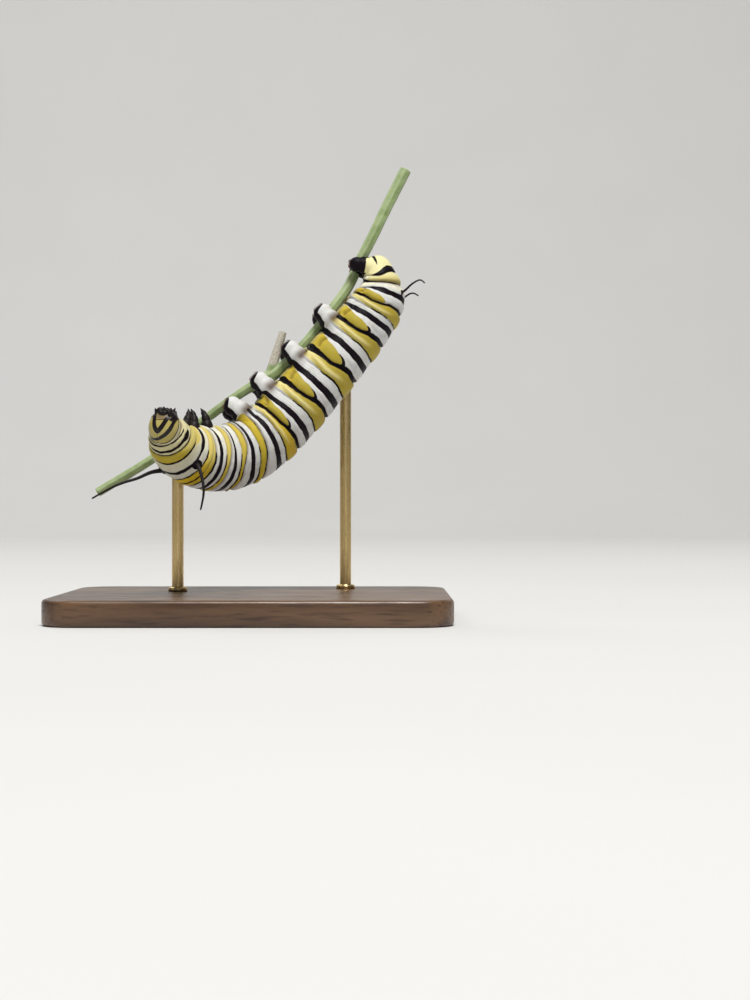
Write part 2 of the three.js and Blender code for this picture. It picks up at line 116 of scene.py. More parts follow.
# %% Shader writer
class Finish:
    """A material written node by node: add() makes a node and sets its sockets, by name or number."""

    def __init__(self, name):
        self.material = bpy.data.materials.new(name)
        self.material.use_nodes = True
        self.tree = self.material.node_tree
        self.tree.nodes.clear()
        self.shader = self.add("BsdfPrincipled")
        output = self.tree.nodes.new("ShaderNodeOutputMaterial")
        self.tree.links.new(self.shader.outputs["BSDF"], output.inputs["Surface"])

    def add(self, kind, sockets=None, **settings):
        node = self.tree.nodes.new("ShaderNode" + kind)
        for key, value in settings.items():
            setattr(node, key, value)
        for key, value in (sockets or {}).items():
            self.set(node, key, value)
        return node

    def set(self, node, key, value):
        """Links a socket to a node's input, or puts a plain value into it."""
        if isinstance(value, bpy.types.NodeSocket):
            self.tree.links.new(value, node.inputs[key])
        else:
            node.inputs[key].default_value = value

    def surface(self, **sockets):
        """The finished material, once the shader's own inputs are set."""
        for key, value in sockets.items():
            self.set(self.shader, key.replace("_", " "), value)
        return self.material

    def position(self):
        """Place on the piece, in metres."""
        return self.add("TexCoord").outputs["Object"]

    def value(self, name, amount=None):
        """One of the numbers kept on the points, or an amount of it."""
        kept = self.add("Attribute", attribute_name=name).outputs["Fac"]
        return self.math("MULTIPLY", kept, amount) if amount else kept

    def lumps(self, vector, scale, detail, distortion=0.0):
        """Plain noise, with scale lumps to one unit of the vector."""
        sockets = {"Vector": vector, "Scale": scale, "Detail": detail, "Distortion": distortion}
        return self.add("TexNoise", sockets).outputs["Fac"]

    def noise(self, size_mm, detail=2.0):
        """Noise whose lumps are about size_mm across."""
        return self.lumps(self.position(), 1 / (size_mm * MM), detail)

    def streaks(self, vector, stretch, scale, detail, distortion=0.0):
        """Noise drawn out along an axis: the smaller the axis's number in stretch, the longer the streaks."""
        stretched = self.add("Mapping", {"Vector": vector, "Scale": stretch}).outputs[0]
        return self.lumps(stretched, scale, detail, distortion)

    def math(self, operation, a, b):
        """Two numbers added, multiplied or the like."""
        return self.add("Math", {0: a, 1: b}, operation=operation).outputs[0]

    def ragged(self, noise, middle, height):
        """Noise taken about zero and scaled, to break up an edge."""
        return self.math("MULTIPLY", self.math("SUBTRACT", noise, middle), height)

    def step(self, value, low, high, to_low=0.0, to_high=1.0):
        """A soft step of a number from low to high."""
        node = self.add("MapRange", {"Value": value}, interpolation_type="SMOOTHSTEP")
        for key, number in (("From Min", low), ("From Max", high), ("To Min", to_low), ("To Max", to_high)):
            self.set(node, key, number)
        return node.outputs["Result"]

    def cut(self, name, edge, low, high):
        """A soft step of a number kept on the points, moved by a ragged edge."""
        return self.step(self.math("ADD", self.value(name), edge), low, high)

    def mix(self, share, low, high):
        """Mixes two colours, each a socket or three numbers."""
        node = self.add("Mix", data_type="RGBA")
        self.set(node, 0, share)
        for key, colour in ((6, low), (7, high)):
            self.set(node, key, colour if isinstance(colour, bpy.types.NodeSocket) else (*colour, 1.0))
        return node.outputs[2]

    def coats(self, base, *coats):
        """Lays more colours over a base one by one, each with the share of it that shows."""
        for share, colour in coats:
            base = self.mix(share, base, colour)
        return base

    def bump(self, height, depth_mm, strength, normal=None):
        """Shading as if a height from 0 to 1 rose depth_mm, over another bump if one is given."""
        sockets = {"Height": height, "Distance": depth_mm * MM, "Strength": strength}
        if normal:
            sockets["Normal"] = normal
        return self.add("Bump", sockets).outputs["Normal"]


print("tools are ready")

# %% [markdown]
# The stage is a pale sheet that runs under the stand and curves up behind it, with large soft
# lights: a broad one almost overhead as the sky was, weak ones from the left and from behind, and a
# low one in front so that the underside of the curled body stays readable.

# %% Stage sheet
SHEET_HALF = 900.0
SHEET_SIDE = SHEET_HALF * 1.5
SHEET_BEND = 300.0
SHEET_BACK = 420.0


def sheet_points():
    """A profile carried along X: flat floor, a quarter circle and a wall, given by the angle of the bend."""
    turn = np.linspace(0, math.pi / 2, 24)
    y = np.concatenate([[-SHEET_HALF], SHEET_BACK + SHEET_BEND * np.sin(turn), [SHEET_BACK + SHEET_BEND]])
    z = np.concatenate([[0.0], SHEET_BEND * (1 - np.cos(turn)), [SHEET_SIDE]])
    rows = [np.stack([np.full_like(y, x), y, z], -1) for x in (-SHEET_SIDE, SHEET_SIDE)]
    return np.concatenate(rows), len(y)


sheet_grid, sheet_count = sheet_points()
sheet_quads = [(i, sheet_count + i, sheet_count + i + 1, i + 1) for i in range(sheet_count - 1)]
sheet = smooth_mesh("stage_sheet", sheet_grid, sheet_quads)
paper = Finish("stage_paper")
paper_tone = paper.mix(paper.noise(60), (0.69, 0.69, 0.68), (0.73, 0.73, 0.72))
sheet.data.materials.append(paper.surface(Base_Color=paper_tone, Roughness=0.9))
print("the sheet bends up", SHEET_BACK, "mm behind the stand")

# %% Soft lights
# Each light is a square: its place and size in millimetres, its power in watts and its tint.
LIGHTS = {
    "light_sky": ((90, -420, 980), 360, 12.5, (1.0, 0.985, 0.96)),
    "light_left": ((-800, -500, 400), 500, 0.4, (0.95, 0.975, 1.0)),
    "light_front": ((150, -900, 90), 400, 0.2, (1, 1, 1)),
    "light_back": ((-350, 450, 600), 300, 0.8, (1, 1, 1)),
}
BODY_MIDDLE = np.array([2.0, 0.0, 28.0])
for name, (at, size, power, tint) in LIGHTS.items():
    data = bpy.data.lights.new(name, "AREA")
    data.size = size * MM
    data.energy = power
    data.color = tint
    light = bpy.data.objects.new(name, data)
    light.location = [c * MM for c in at]
    aim = BODY_MIDDLE - np.array(at)
    tilt = math.acos(-aim[2] / np.linalg.norm(aim))
    light.rotation_euler = (tilt, 0, math.atan2(aim[1], aim[0]) - math.pi / 2)
    bpy.context.scene.collection.objects.link(light)
world = bpy.data.worlds.new("world")
world.use_nodes = True
sky = world.node_tree.nodes["Background"].inputs
sky["Color"].default_value = (0.95, 0.97, 1.0, 1.0)
sky["Strength"].default_value = 0.08
bpy.context.scene.world = world
print(len(LIGHTS), "soft lights and a pale sky")

# %% [markdown]
# The body is one long bag of soft rings. Its centreline is a smooth curve through fourteen
# stations, each at the middle of a ring's main black band, and at each the animal has a radius and
# a direction of its back. The same stations shape the plain solids, so the skin lies on them.

# %% Stations along the body
BODY_RADIUS = 3.9
STATIONS = {
    "neck": ((-9.65, -7.5, 21.9), 0.535, (-0.35, -0.45, -0.8)),
    "thorax_1": ((-9.3, -6.65, 21.25), 0.65, (-0.28, -0.47, -0.83)),
    "thorax_2": ((-8.45, -4.6, 19.95), 0.82, (-0.11, -0.46, -0.86)),
    "thorax_3": ((-6.45, -2.1, 19.15), 0.95, (0.02, -0.28, -0.95)),
    "abdomen_1": ((-4.4, -0.3, 19.0), 1.01, (0.2, -0.15, -0.97)),
    "abdomen_2": ((-1.85, 1.1, 19.7), 1.02, (0.42, -0.05, -0.9)),
    "abdomen_3": ((0.75, 2.0, 21.45), 1.01, (0.65, 0.0, -0.76)),
    "abdomen_4": ((3.35, 2.5, 24.0), 0.99, (0.72, 0.0, -0.69)),
    "abdomen_5": ((6.75, 3.3, 27.9), 0.96, (0.74, 0.0, -0.67)),
    "abdomen_6": ((10.55, 4.1, 32.5), 0.925, (0.76, 0.0, -0.65)),
    "abdomen_7": ((13.25, 4.8, 36.05), 0.875, (0.88, 0.0, -0.47)),
    "abdomen_8": ((14.8, 5.4, 39.25), 0.735, (0.98, 0.0, -0.2)),
    "abdomen_9": ((14.6, 5.7, 41.2), 0.535, (1.0, 0.0, 0.0)),
    "abdomen_10": ((14.0, 6.0, 42.9), 0.43, (1.0, 0.0, 0.15)),
}


def unit(rows):
    """Rows divided by their own lengths."""
    return rows / np.linalg.norm(rows, axis=-1, keepdims=True)


def run_along(points, rise=0.0):
    """Length run along a line of points, 0 at the first. A rise between the points lengthens the steps."""
    steps = np.linalg.norm(np.diff(points, axis=0), axis=1)
    return np.concatenate([[0], np.cumsum(np.hypot(steps, rise))])


def natural_spline(knots, rows):
    """The smoothest curve through rows at knots: cubic pieces whose bends agree, with no bend at the ends."""
    count, step = len(knots), np.diff(knots)
    system, right = np.eye(count), np.zeros_like(rows)
    inner = np.arange(1, count - 1)
    system[inner, inner - 1], system[inner, inner + 1] = step[:-1], step[1:]
    system[inner, inner] = 2 * (step[:-1] + step[1:])
    right[1:-1] = 6 * np.diff(np.diff(rows, axis=0) / step[:, None], axis=0)
    bend = np.linalg.solve(system, right)

    def at(place):
        """Cubic from the two bends, plus a straight line that makes it meet both rows."""
        place = np.atleast_1d(place)
        i = np.clip(np.searchsorted(knots, place) - 1, 0, count - 2)
        h, a, b = step[i][:, None], (knots[i + 1] - place)[:, None], (place - knots[i])[:, None]
        curve = (bend[i] * a**3 + bend[i + 1] * b**3) / (6 * h)
        return curve + (rows[i] / h - bend[i] * h / 6) * a + (rows[i + 1] / h - bend[i + 1] * h / 6) * b

    return at


station_names = list(STATIONS)
station_points = np.array([STATIONS[n][0] for n in station_names])
knots = run_along(station_points)
place_of = dict(zip(station_names, knots))
centre_at = natural_spline(knots, station_points)
share_at = natural_spline(knots, np.array([[STATIONS[n][1]] for n in station_names]))
back_at = natural_spline(knots, np.array([STATIONS[n][2] for n in station_names]))
print("the centreline is", round(float(knots[-1]), 1), "mm long")

# %% Frame and radius of the body
TAIL_LENGTH = 0.8
TAIL_START = 0.9
TAIL_BLUNTNESS = 2.5
BELLY_SHARE = 0.95
tail_place = knots[-1] + TAIL_LENGTH


def body_frame(place):
    """Centre, left, along and back at places on the centreline: along is the slope of the curve."""
    centre = centre_at(place)
    along = unit(centre_at(np.atleast_1d(place) + 0.01) - centre_at(np.atleast_1d(place) - 0.01))
    back = back_at(place)
    back = unit(back - (back * along).sum(-1, keepdims=True) * along)
    return centre, np.cross(along, back), along, back


def body_radius(place):
    """Radius from the stations, closing as a blunt ellipse at the tail."""
    start = knots[-1] - TAIL_START
    share = np.clip((place - start) / (tail_place - start), 0, 1)
    return BODY_RADIUS * share_at(np.minimum(place, knots[-1]))[:, 0] * np.sqrt(1 - share**TAIL_BLUNTNESS)


def place_from(ring, behind, down, out, side):
    """A place told from a ring's station: behind it, down to the belly and out to one side (left is 1)."""
    centre, left, along, back = (v[0] for v in body_frame(place_of[ring]))
    return centre + along * behind - back * down + left * side * out


fifth_radius = body_radius(np.array([place_of["abdomen_5"]]))[0]
print("radius at the fifth abdomen ring", round(float(fifth_radius), 2), "mm")

# %% [markdown]
# The skin is worked out on a grid of places along the body and angles around it. The grid is finer
# where the fleshy prolegs grow out of it, because one continuous skin has to stretch over them.
# Angle 0 is the middle of the back, a quarter turn is the animal's right flank.

# %% Skin grid
PROLEGS = {
    "proleg_3": ("abdomen_3", (0.0, 2.2, 1.9), (-0.25, 4.6, 1.8), (-1.0, 6.0, 1.4)),
    "proleg_4": ("abdomen_4", (0.8, 2.2, 1.9), (0.8, 4.4, 1.75), (0.85, 6.0, 1.4)),
    "proleg_5": ("abdomen_5", (0.9, 2.1, 1.9), (0.95, 4.1, 1.75), (1.35, 5.7, 1.4)),
    "proleg_6": ("abdomen_6", (0.9, 2.0, 1.9), (1.0, 3.9, 1.75), (1.45, 5.5, 1.4)),
    "anal_proleg": ("abdomen_10", (-0.5, 0.5, 1.0), (0.0, 1.5, 1.25), (0.7, 2.9, 1.1)),
}
PROLEG_RADII = (1.3, 1.22, 1.0)
ANAL_PROLEG_RADII = (1.0, 0.95, 0.75)
PROLEG_ANGLE = math.radians(149)
ROWS = 604
COLUMNS = 160


def even_steps(low, high, density, count):
    """Places from low to high, closer together where density is greater, by inverting its running sum."""
    fine = np.linspace(low, high, 4000)
    total = np.cumsum(density(fine))
    return np.interp(np.linspace(total[0], total[-1], count), total, fine)


def bell(value, middle, width):
    """A bell curve: 1 at the middle, about a third at one width from it, and next to nothing at two."""
    return np.exp(-(((value - middle) / width) ** 2))


def row_density(place):
    """More rows at each proleg and at the tail."""
    return 1 + 0.9 * sum(bell(place, place_of[ring] + root[0], 1.4) for ring, root, *_ in PROLEGS.values())


def column_density(angle):
    """More columns where the prolegs grow, on both sides of the belly."""
    return 1 + 1.5 * bell(np.abs(angle), PROLEG_ANGLE, math.radians(20))


rows_s = even_steps(0.0, tail_place - 0.004, row_density, ROWS)
columns_a = even_steps(-math.pi, math.pi, column_density, COLUMNS + 1)[:-1]
S, A = np.meshgrid(rows_s, columns_a, indexing="ij")
S, A = S.ravel(), A.ravel()
ABS_A = np.degrees(np.abs(A))
mm_per_degree = np.radians(1.0) * body_radius(S)
print("the skin grid has", len(S), "points")

# %% [markdown]
# Each ring carries the same order of stripes. Behind its wide black band come a white stripe, a thin
# black line, a golden stripe, a black line in the deep fold, and a second white stripe. A stripe is
# written as a signed distance, in millimetres, that is positive inside it. The material cuts it at
# zero, so its edges stay sharp between the grid points.

# %% Stripe arithmetic
BY_ANGLE = np.array([0.0, 30, 60, 90, 120, 150, 180])


def by_angle(*values):
    """A smooth course through values at those angles. The last value holds as far as the belly."""
    padded = np.array(values + values[-1:] * (len(BY_ANGLE) - len(values)), dtype=float)
    return natural_spline(BY_ANGLE, padded[:, None])(ABS_A)[:, 0]


def ramp(value, low, high):
    """Smooth step from 0 at low to 1 at high."""
    t = np.clip((value - low) / (high - low), 0, 1)
    return t * t * (3 - 2 * t)


def wave(amount, seed, periods=(3, 7, 13, 22)):
    """A slow wander around the body: a few cosines of the angle with fixed phases."""
    rng = np.random.default_rng(seed)
    total = np.zeros_like(A)
    for n in periods:
        total += np.cos(n * A + rng.uniform(0, TAU)) / math.sqrt(n)
    return amount * total


belly = ramp(ABS_A, 140, 170)
lift = np.zeros_like(S)
LAYERS = ["black", "yellow", "orange", "highlight_and_pale", "olive_and_shade", "cream", "fold_shade"]
UNPAINTED = {"black": -9.0, "yellow": -9.0, "cream": 0.1}
layers = {name: np.full_like(S, UNPAINTED.get(name, 0.0)) for name in LAYERS}


def paint(name, amount):
    """Raises a layer to an amount wherever it is lower."""
    layers[name] = np.maximum(layers[name], amount)


def draw_line(away, half):
    """A black line where away, in millimetres, is zero. It ends where its half width is below zero."""
    paint("black", half - np.abs(away))


def no_hairline(half):
    """Half width of a thin line, which ends where it would be thinner than the grid can draw."""
    return np.where(half < 0.05, -0.1, half)


def add_fold(away, depth, width, painted_shade=1.0):
    """A soft groove where away, in millimetres, is zero. Painted shade darkens the skin in it by its depth.
    """
    global lift
    groove = bell(away, 0, width)
    lift = lift - depth * groove
    paint("fold_shade", painted_shade * groove * np.minimum(1.0, np.abs(depth) / 0.2))


def roll(share, low, high):
    """Height of a rounded roll between two folds: a power of half a sine wave, so its sides are steep."""
    return np.sin(math.pi * np.clip((share - low) / (high - low), 0, 1)).clip(0) ** 0.7


print("stripes can be laid in", len(layers), "layers")

# %% Main bands
# How far the middle of each ring's main band lies behind its station, around the body, and its half
# width. On the back the bands lean towards the head where the body bends.
MAIN_BANDS = {
    "thorax_1": ((-0.25, -0.31, -0.38, -0.42, -0.35, -0.3), 0.15),
    "thorax_2": ((0.04, -0.04, -0.04, 0.05, 0.05, 0.0), 0.19),
    "thorax_3": ((0.38, 0.36, 0.4, 0.18, 0.0, -0.2, -0.3), 0.28),
    "abdomen_1": ((-0.55, -0.29, 0.05, 0.17, 0.2), 0.29),
    "abdomen_2": ((-0.98, -0.66, -0.2, 0.4, 0.55, 0.4, 0.3), 0.3),
    "abdomen_3": ((-0.85, -0.6, 0.0, 0.56, 0.62, 0.35, 0.2), 0.36),
    "abdomen_4": ((-0.2, -0.03, 0.22, 0.32, 0.26, 0.04, -0.1), 0.34),
    "abdomen_5": ((-0.4, -0.38, -0.33, -0.21, -0.13, 0.0, 0.1), 0.44),
    "abdomen_6": ((-0.83, -0.83, -0.76, -0.62, -0.53, -0.45, -0.2), 0.41),
    "abdomen_7": ((-0.2, -0.22, -0.38, -0.5, -0.6, -0.42, 0.0), 0.36),
    "abdomen_8": ((-0.56, -0.56, -0.53, -0.5, -0.44, -0.4, -0.3), 0.25),
}
main_at = {}
band_width = by_angle(1.0, 1.0, 1.0, 0.93, 0.88, 0.62, 0.45)
widened = {                                     # where three of the bands swell or shrink on the flank
    "thorax_1": 0.16 * bell(ABS_A, 92, 14) - 0.2 * ramp(ABS_A, 105, 125),
    "thorax_2": 0.26 * ramp(ABS_A, 66, 92),
    "abdomen_8": 0.1 * bell(ABS_A, 88, 16) - 0.06 * ramp(ABS_A, 106, 122),
}
for i, (name, (behind, half)) in enumerate(MAIN_BANDS.items()):
    main_at[name] = place_of[name] + by_angle(*behind) + wave(0.045, i)
    width = half * band_width + wave(0.025, i + 20) + widened.get(name, 0.0)
    away = S - main_at[name]
    draw_line(away, width)
    add_fold(away - width, 0.04, 0.12, 0.3)
    add_fold(away + width, 0.04, 0.12, 0.3)
print("main bands on", len(MAIN_BANDS), "rings")


def along_ring(name):
    """Share of the way from a ring's main band to the next one's, and that way in millimetres."""
    following = station_names[station_names.index(name) + 1]
    reach = main_at[following] - main_at[name]
    return (S - main_at[name]) / reach, reach


# %% Lines of the five full rings
# The middle of each line is a share of the way to the next main band.
FULL_RINGS = ["abdomen_3", "abdomen_4", "abdomen_5", "abdomen_6", "abdomen_7"]
thin_middle = by_angle(0.25, 0.26, 0.285, 0.245, 0.24)
gold_start = by_angle(0.25, 0.265, 0.29, 0.25, 0.285, 0.31, 0.33)
deep_middle = by_angle(0.665, 0.665, 0.645, 0.525, 0.535, 0.54)
deep_half = by_angle(0.052, 0.052, 0.056, 0.044, 0.062, 0.085, -0.02)
full_rings = {}                                 # share and reach of each ring, for the folds below
deep_at = {}                                    # where the dark line in each ring's deep fold lies
for i, name in enumerate(FULL_RINGS):
    share, reach = along_ring(name)
    share = share + wave(0.008, i + 40)
    full_rings[name] = share, reach
    thin_line = by_angle(0.1, 0.1, 0.1, 0.07, -0.08, -0.2) * (reach / 5) + wave(0.02, i + 50)
    draw_line((share - thin_middle) * reach, no_hairline(thin_line))
    paint("yellow", np.minimum(share - gold_start, deep_middle - share) * reach - 0.5 * belly)
    paint("orange", bell(share, 0.5, 0.12) * (1 - ramp(ABS_A, 20, 95)))
    deep_at[name] = main_at[name] + deep_middle * reach
    strength = 0.75 if name == "abdomen_7" else 1.0
    draw_line((share - deep_middle) * reach, strength * deep_half * reach + wave(0.03, i + 60))
print("lines on", len(FULL_RINGS), "full rings")

# %% Yellow flank patches
PATCH_TIP = 71.0
RIM_TIP = PATCH_TIP - 6
# The angle where the black rim of a patch fades out, on the rings that have a rim.
BARB_ENDS = {"abdomen_3": 106, "abdomen_4": 106, "abdomen_5": 102, "abdomen_6": 87}
patch_middle = by_angle(0.66, 0.66, 0.66, 0.68, 0.74, 0.8)


def patch_half(tip):
    """Half length of a flank patch, rounded off by a quarter ellipse at its upper end, the tip's angle."""
    u = np.clip((ABS_A - tip) / 24, 0, 1)
    round_end = np.sqrt(np.clip(1 - (1 - u) ** 2, 0, 1))
    return np.where(ABS_A > tip, (0.12 + 0.04 * ramp(ABS_A, 100, 150)) * round_end, -(tip - ABS_A) * 0.015)


for i, (name, (share, reach)) in enumerate(full_rings.items()):
    fore = share - patch_middle + patch_half(PATCH_TIP) + 0.12 * ramp(ABS_A, 78, 94)
    rear = patch_middle + patch_half(PATCH_TIP) - share
    patch = np.minimum(rear, np.minimum(fore, share - deep_middle)) * reach + wave(0.03, i + 70)
    paint("yellow", patch - 0.4 * ramp(ABS_A, 150, 170))
    if name in BARB_ENDS:
        rim = (patch_half(RIM_TIP) + 0.03 - np.abs(share - patch_middle)) * reach
        paint("black", np.minimum(rim - 0.27 * ramp(ABS_A, 62, BARB_ENDS[name]), 0.04 - patch))
    paint("olive_and_shade", ramp(share, 0.5, 0.6) * (1 - 0.8 * ramp(ABS_A, 112, 140)))
print("patches with a black rim:", len(BARB_ENDS))

# %% Folds and rolls of the full rings
for i, (share, reach) in enumerate(full_rings.values()):
    # each fold also paints shade into its groove
    add_fold((share - deep_middle) * reach, 0.24, 0.22)
    add_fold((share - thin_middle) * reach, 0.1, 0.12)
    add_fold((share - 0.79) * reach, 0.05 * (1 - ramp(ABS_A, 60, 90)), 0.16, 0.3)
    lift = lift + 0.14 * roll(share, thin_middle, deep_middle) + 0.09 * roll(share, deep_middle, 1)
    under_patch = (ABS_A - 133 - 2.5 * np.sin(share * 16 + i)) * mm_per_degree
    in_patch = ramp(share, 0.56, 0.7) * ramp(-share, -1.0, -0.84)
    add_fold(under_patch, 0.26 * in_patch, 0.34, 0.7 * in_patch)
    lobes = bell(ABS_A, 107, 19) + 0.7 * bell(ABS_A, 150, 10)
    lift = lift + 0.12 * bell(share, patch_middle, 0.11) * lobes
    ridge = bell(share, 0.4 + 0.04 * np.sin(np.radians(ABS_A) * 3), 0.05)
    lift = lift + 0.07 * ridge * ramp(ABS_A, 25, 50) * (1 - 0.5 * belly)
    pale_flank = ramp(ABS_A, 95, 135) * ramp(-share, -0.55, -0.45)
    # painted highlight along the ridge, and the paler own yellow of the lower flank
    paint("highlight_and_pale", np.maximum(ridge * ramp(ABS_A, 40, 75), pale_flank) * ramp(share, 0.2, 0.28))
print("the skin rises and falls by", round(float(np.ptp(lift)), 2), "mm")

# %% [markdown]
# The rings near the head are short and crowded, with narrower lines and no flank patches. On the
# second ring of the thorax an extra dark line crosses the back.

# %% Front rings
# For each ring the middle of the thin line, the end of the gold, and both lines' half widths in
# millimetres.
FRONT_RINGS = {
    "thorax_2": ((0.27, 0.3, 0.36, 0.38, 0.4), (0.7, 0.74, 0.78, 0.76, 0.75, 0.7), 0.09, 0.13),
    "thorax_3": ((0.29, 0.35, 0.34, 0.36, 0.38, 0.4), (0.6, 0.62, 0.62, 0.72, 0.75, 0.7), 0.075, 0.03),
    "abdomen_1": ((0.32, 0.33, 0.36, 0.42, 0.45), (0.45, 0.53, 0.58, 0.78, 0.82, 0.8), 0.08, 0.06),
    "abdomen_2": ((0.22, 0.23, 0.31, 0.32), (0.46, 0.47, 0.6, 0.66, 0.72, 0.75), 0.08, 0.1),
}
fade = 1 - 3.5 * ramp(ABS_A, 76, 104)           # the thin lines end on the flank
for i, (name, (thin, gold_end, thin_half, deep)) in enumerate(FRONT_RINGS.items()):
    share, reach = along_ring(name)
    share = share + wave(0.012, i + 80)
    thin, gold_end = by_angle(*thin), by_angle(*gold_end)
    deep_at[name] = main_at[name] + gold_end * reach
    draw_line((share - thin) * reach, no_hairline(thin_half * fade + wave(0.015, i + 90)))
    draw_line((share - gold_end) * reach, no_hairline(deep * fade + wave(0.02, i + 95)))
    paint("yellow", np.minimum(share - thin, gold_end - share) * reach - 0.4 * belly)
    paint("orange", 0.5 * bell(share, 0.45, 0.12) * (1 - ramp(ABS_A, 10, 70)))
    paint("olive_and_shade", 0.5 * ramp(share, 0.3, 0.6))
    if name == "thorax_2":
        extra = (share - by_angle(0.47, 0.51, 0.57, 0.6)) * reach
        draw_line(extra, 0.11 - 0.14 * ramp(ABS_A, 20, 62) + wave(0.02, 99))
        add_fold(extra, 0.08, 0.12)
    add_fold((share - gold_end) * reach, 0.18, 0.17)
    add_fold((share - thin) * reach, 0.1, 0.12)
    lift = lift + 0.1 * roll(share, thin, gold_end) + 0.06 * roll(share, gold_end, 1)
print("stripes on", len(FRONT_RINGS), "front rings")

# %% First ring
# Behind the head: a cream roll with the main band, an olive line, gold and a black line. A darker straw tint
# on the white and olive on the gold, strongest here and fading out over the thorax, are painted shade, as if
# a leaf hung over the head.
NECK_LINE = 0.07                                # where the black line at the head lies
first, second, third = place_of["thorax_1"], place_of["thorax_2"], place_of["thorax_3"]
olive_line = first + 0.16 - 0.1 * ramp(ABS_A, 60, 120) + wave(0.02, 100)
last_line = first + by_angle(1.2, 1.13, 1.05, 1.0) + wave(0.02, 101)
deep_at["thorax_1"] = last_line
draw_line(S - olive_line, 0.06 - 0.1 * ramp(ABS_A, 95, 120))
draw_line(S - last_line, 0.13 - 0.2 * ramp(ABS_A, 80, 106))
draw_line(S - NECK_LINE, 0.08 - 0.12 * ramp(ABS_A, 95, 125))
paint("yellow", np.minimum(S - olive_line, last_line + 0.8 * ramp(ABS_A, 72, 106) - S) - 0.5 * belly)
# painted leaf shade on the first ring's gold, as olive
paint("olive_and_shade", 0.9 * ramp(-S, -second, -first))
front_share = ramp(-S, -place_of["abdomen_3"] + 0.5, -second - 1)
paint("highlight_and_pale", 0.5 * ramp(ABS_A, 45, 80) * front_share)
# painted leaf shade on the white, fading out over the thorax
straw = ramp(-S, -third, -0.3)
add_fold(S - olive_line, 0.13, 0.1)
add_fold(S - last_line, 0.13, 0.13)
lift = lift + 0.1 * roll(S, 0.12, first - 0.5) + 0.1 * roll(S, olive_line, last_line)
print("first ring striped")

# %% [markdown]
# The tail wears a black saddle and a pale yellow plate with one short black stroke on each side. The
# fold in front of the saddle turns into a black streak on the belly, and the last pair of prolegs is
# black.

# %% Tail rings
eighth, ninth, tenth = place_of["abdomen_8"], place_of["abdomen_9"], place_of["abdomen_10"]
fold_line = eighth + by_angle(0.62, 0.62, 0.6, 0.66, 0.9, 1.5, 2.1) + wave(0.02, 102)
deep_at["abdomen_8"] = fold_line
draw_line(S - fold_line, by_angle(0.03, 0.05, 0.08, 0.08, 0.12, 0.26, 0.3))
paint("yellow", np.minimum(S - fold_line, ninth - 0.1 - S) - 0.5 * ramp(ABS_A, 120, 150))
saddle_at = ninth + by_angle(0.2, 0.2, 0.16, -0.22, -0.1, 0.3, 0.6)
saddle_half = by_angle(0.36, 0.36, 0.38, 0.26, 0.05, 0.0)
draw_line(S - saddle_at, saddle_half + wave(0.02, 103))
paint("yellow", S - saddle_at)
stroke_away = (ABS_A - 83 + 3 * (S - tenth)) * mm_per_degree
draw_line(stroke_away, 0.16 * ramp(S, tenth - 1.5, tenth + 0.2))
paint("black", S - (tail_place - 0.1) + wave(0.02, 104))
anal_edge = 122 + 22 * ramp(-S, -tenth, -ninth) - 26 * ramp(S, tenth, tail_place)
paint("black", np.minimum((ABS_A - anal_edge) * mm_per_degree, S - (ninth + 0.5)))
add_fold((ABS_A - 84) * mm_per_degree, 0.12 * ramp(S, ninth + 0.5, tenth), 0.16, 0.2)
add_fold(S - fold_line, 0.3, 0.26)
add_fold(S - saddle_at + saddle_half, 0.14, 0.14, 0.7)
lift = lift + 0.1 * roll(S, main_at["abdomen_8"], fold_line)
lift = lift + 0.05 * roll(S, fold_line, saddle_at - saddle_half)
lift = lift + 0.04 * roll(S, saddle_at + saddle_half, tail_place + 0.4)
print("tail striped")

# %% Creamy ends
# The white is creamier at the tail, on the flanks of the front rings and behind the head.
plate = ramp(S, eighth + 0.2, ninth)
paint("cream", ramp(S, eighth - 0.5, eighth + 0.4))
paint("cream", 0.8 * ramp(-S, -place_of["abdomen_2"], -third) * ramp(ABS_A, 60, 110))
paint("cream", 0.9 * ramp(-S, -second + 0.5, -first))
print("cream covers", round(float((layers["cream"] > 0.5).mean()), 2), "of the grid")

# %% [markdown]
# Four black feelers rise from black, slightly raised sockets, two behind the head and two near the
# tail. Where each one leaves the skin is found by walking along its line until it is as far from
# the centreline as the skin is.

# %% Feeler lines and sockets
FEELERS = {
    "filament_front_right": [
        (-6.6, -5.7, 18.45), (-6.0, -6.7, 17.7), (-5.45, -7.5, 15.95), (-5.35, -7.8, 14.75),
        (-5.5, -7.9, 13.7), (-5.7, -7.8, 12.85)],
    "filament_front_left": [
        (-9.55, -3.8, 17.55), (-11.7, -4.8, 17.2), (-13.25, -5.3, 16.5), (-14.65, -5.6, 16.05),
        (-15.9, -5.7, 15.55), (-17.25, -5.6, 14.85), (-18.5, -5.4, 14.15)],
    "filament_rear_right": [
        (16.7, 4.5, 38.95), (17.65, 3.6, 39.2), (18.7, 2.9, 40.05), (19.6, 2.5, 40.4), (20.15, 2.3, 40.0)],
    "filament_rear_left": [
        (16.75, 6.5, 38.35), (17.6, 7.3, 38.8), (18.45, 7.8, 39.4), (18.95, 8.1, 39.5), (19.55, 8.3, 39.2)],
}


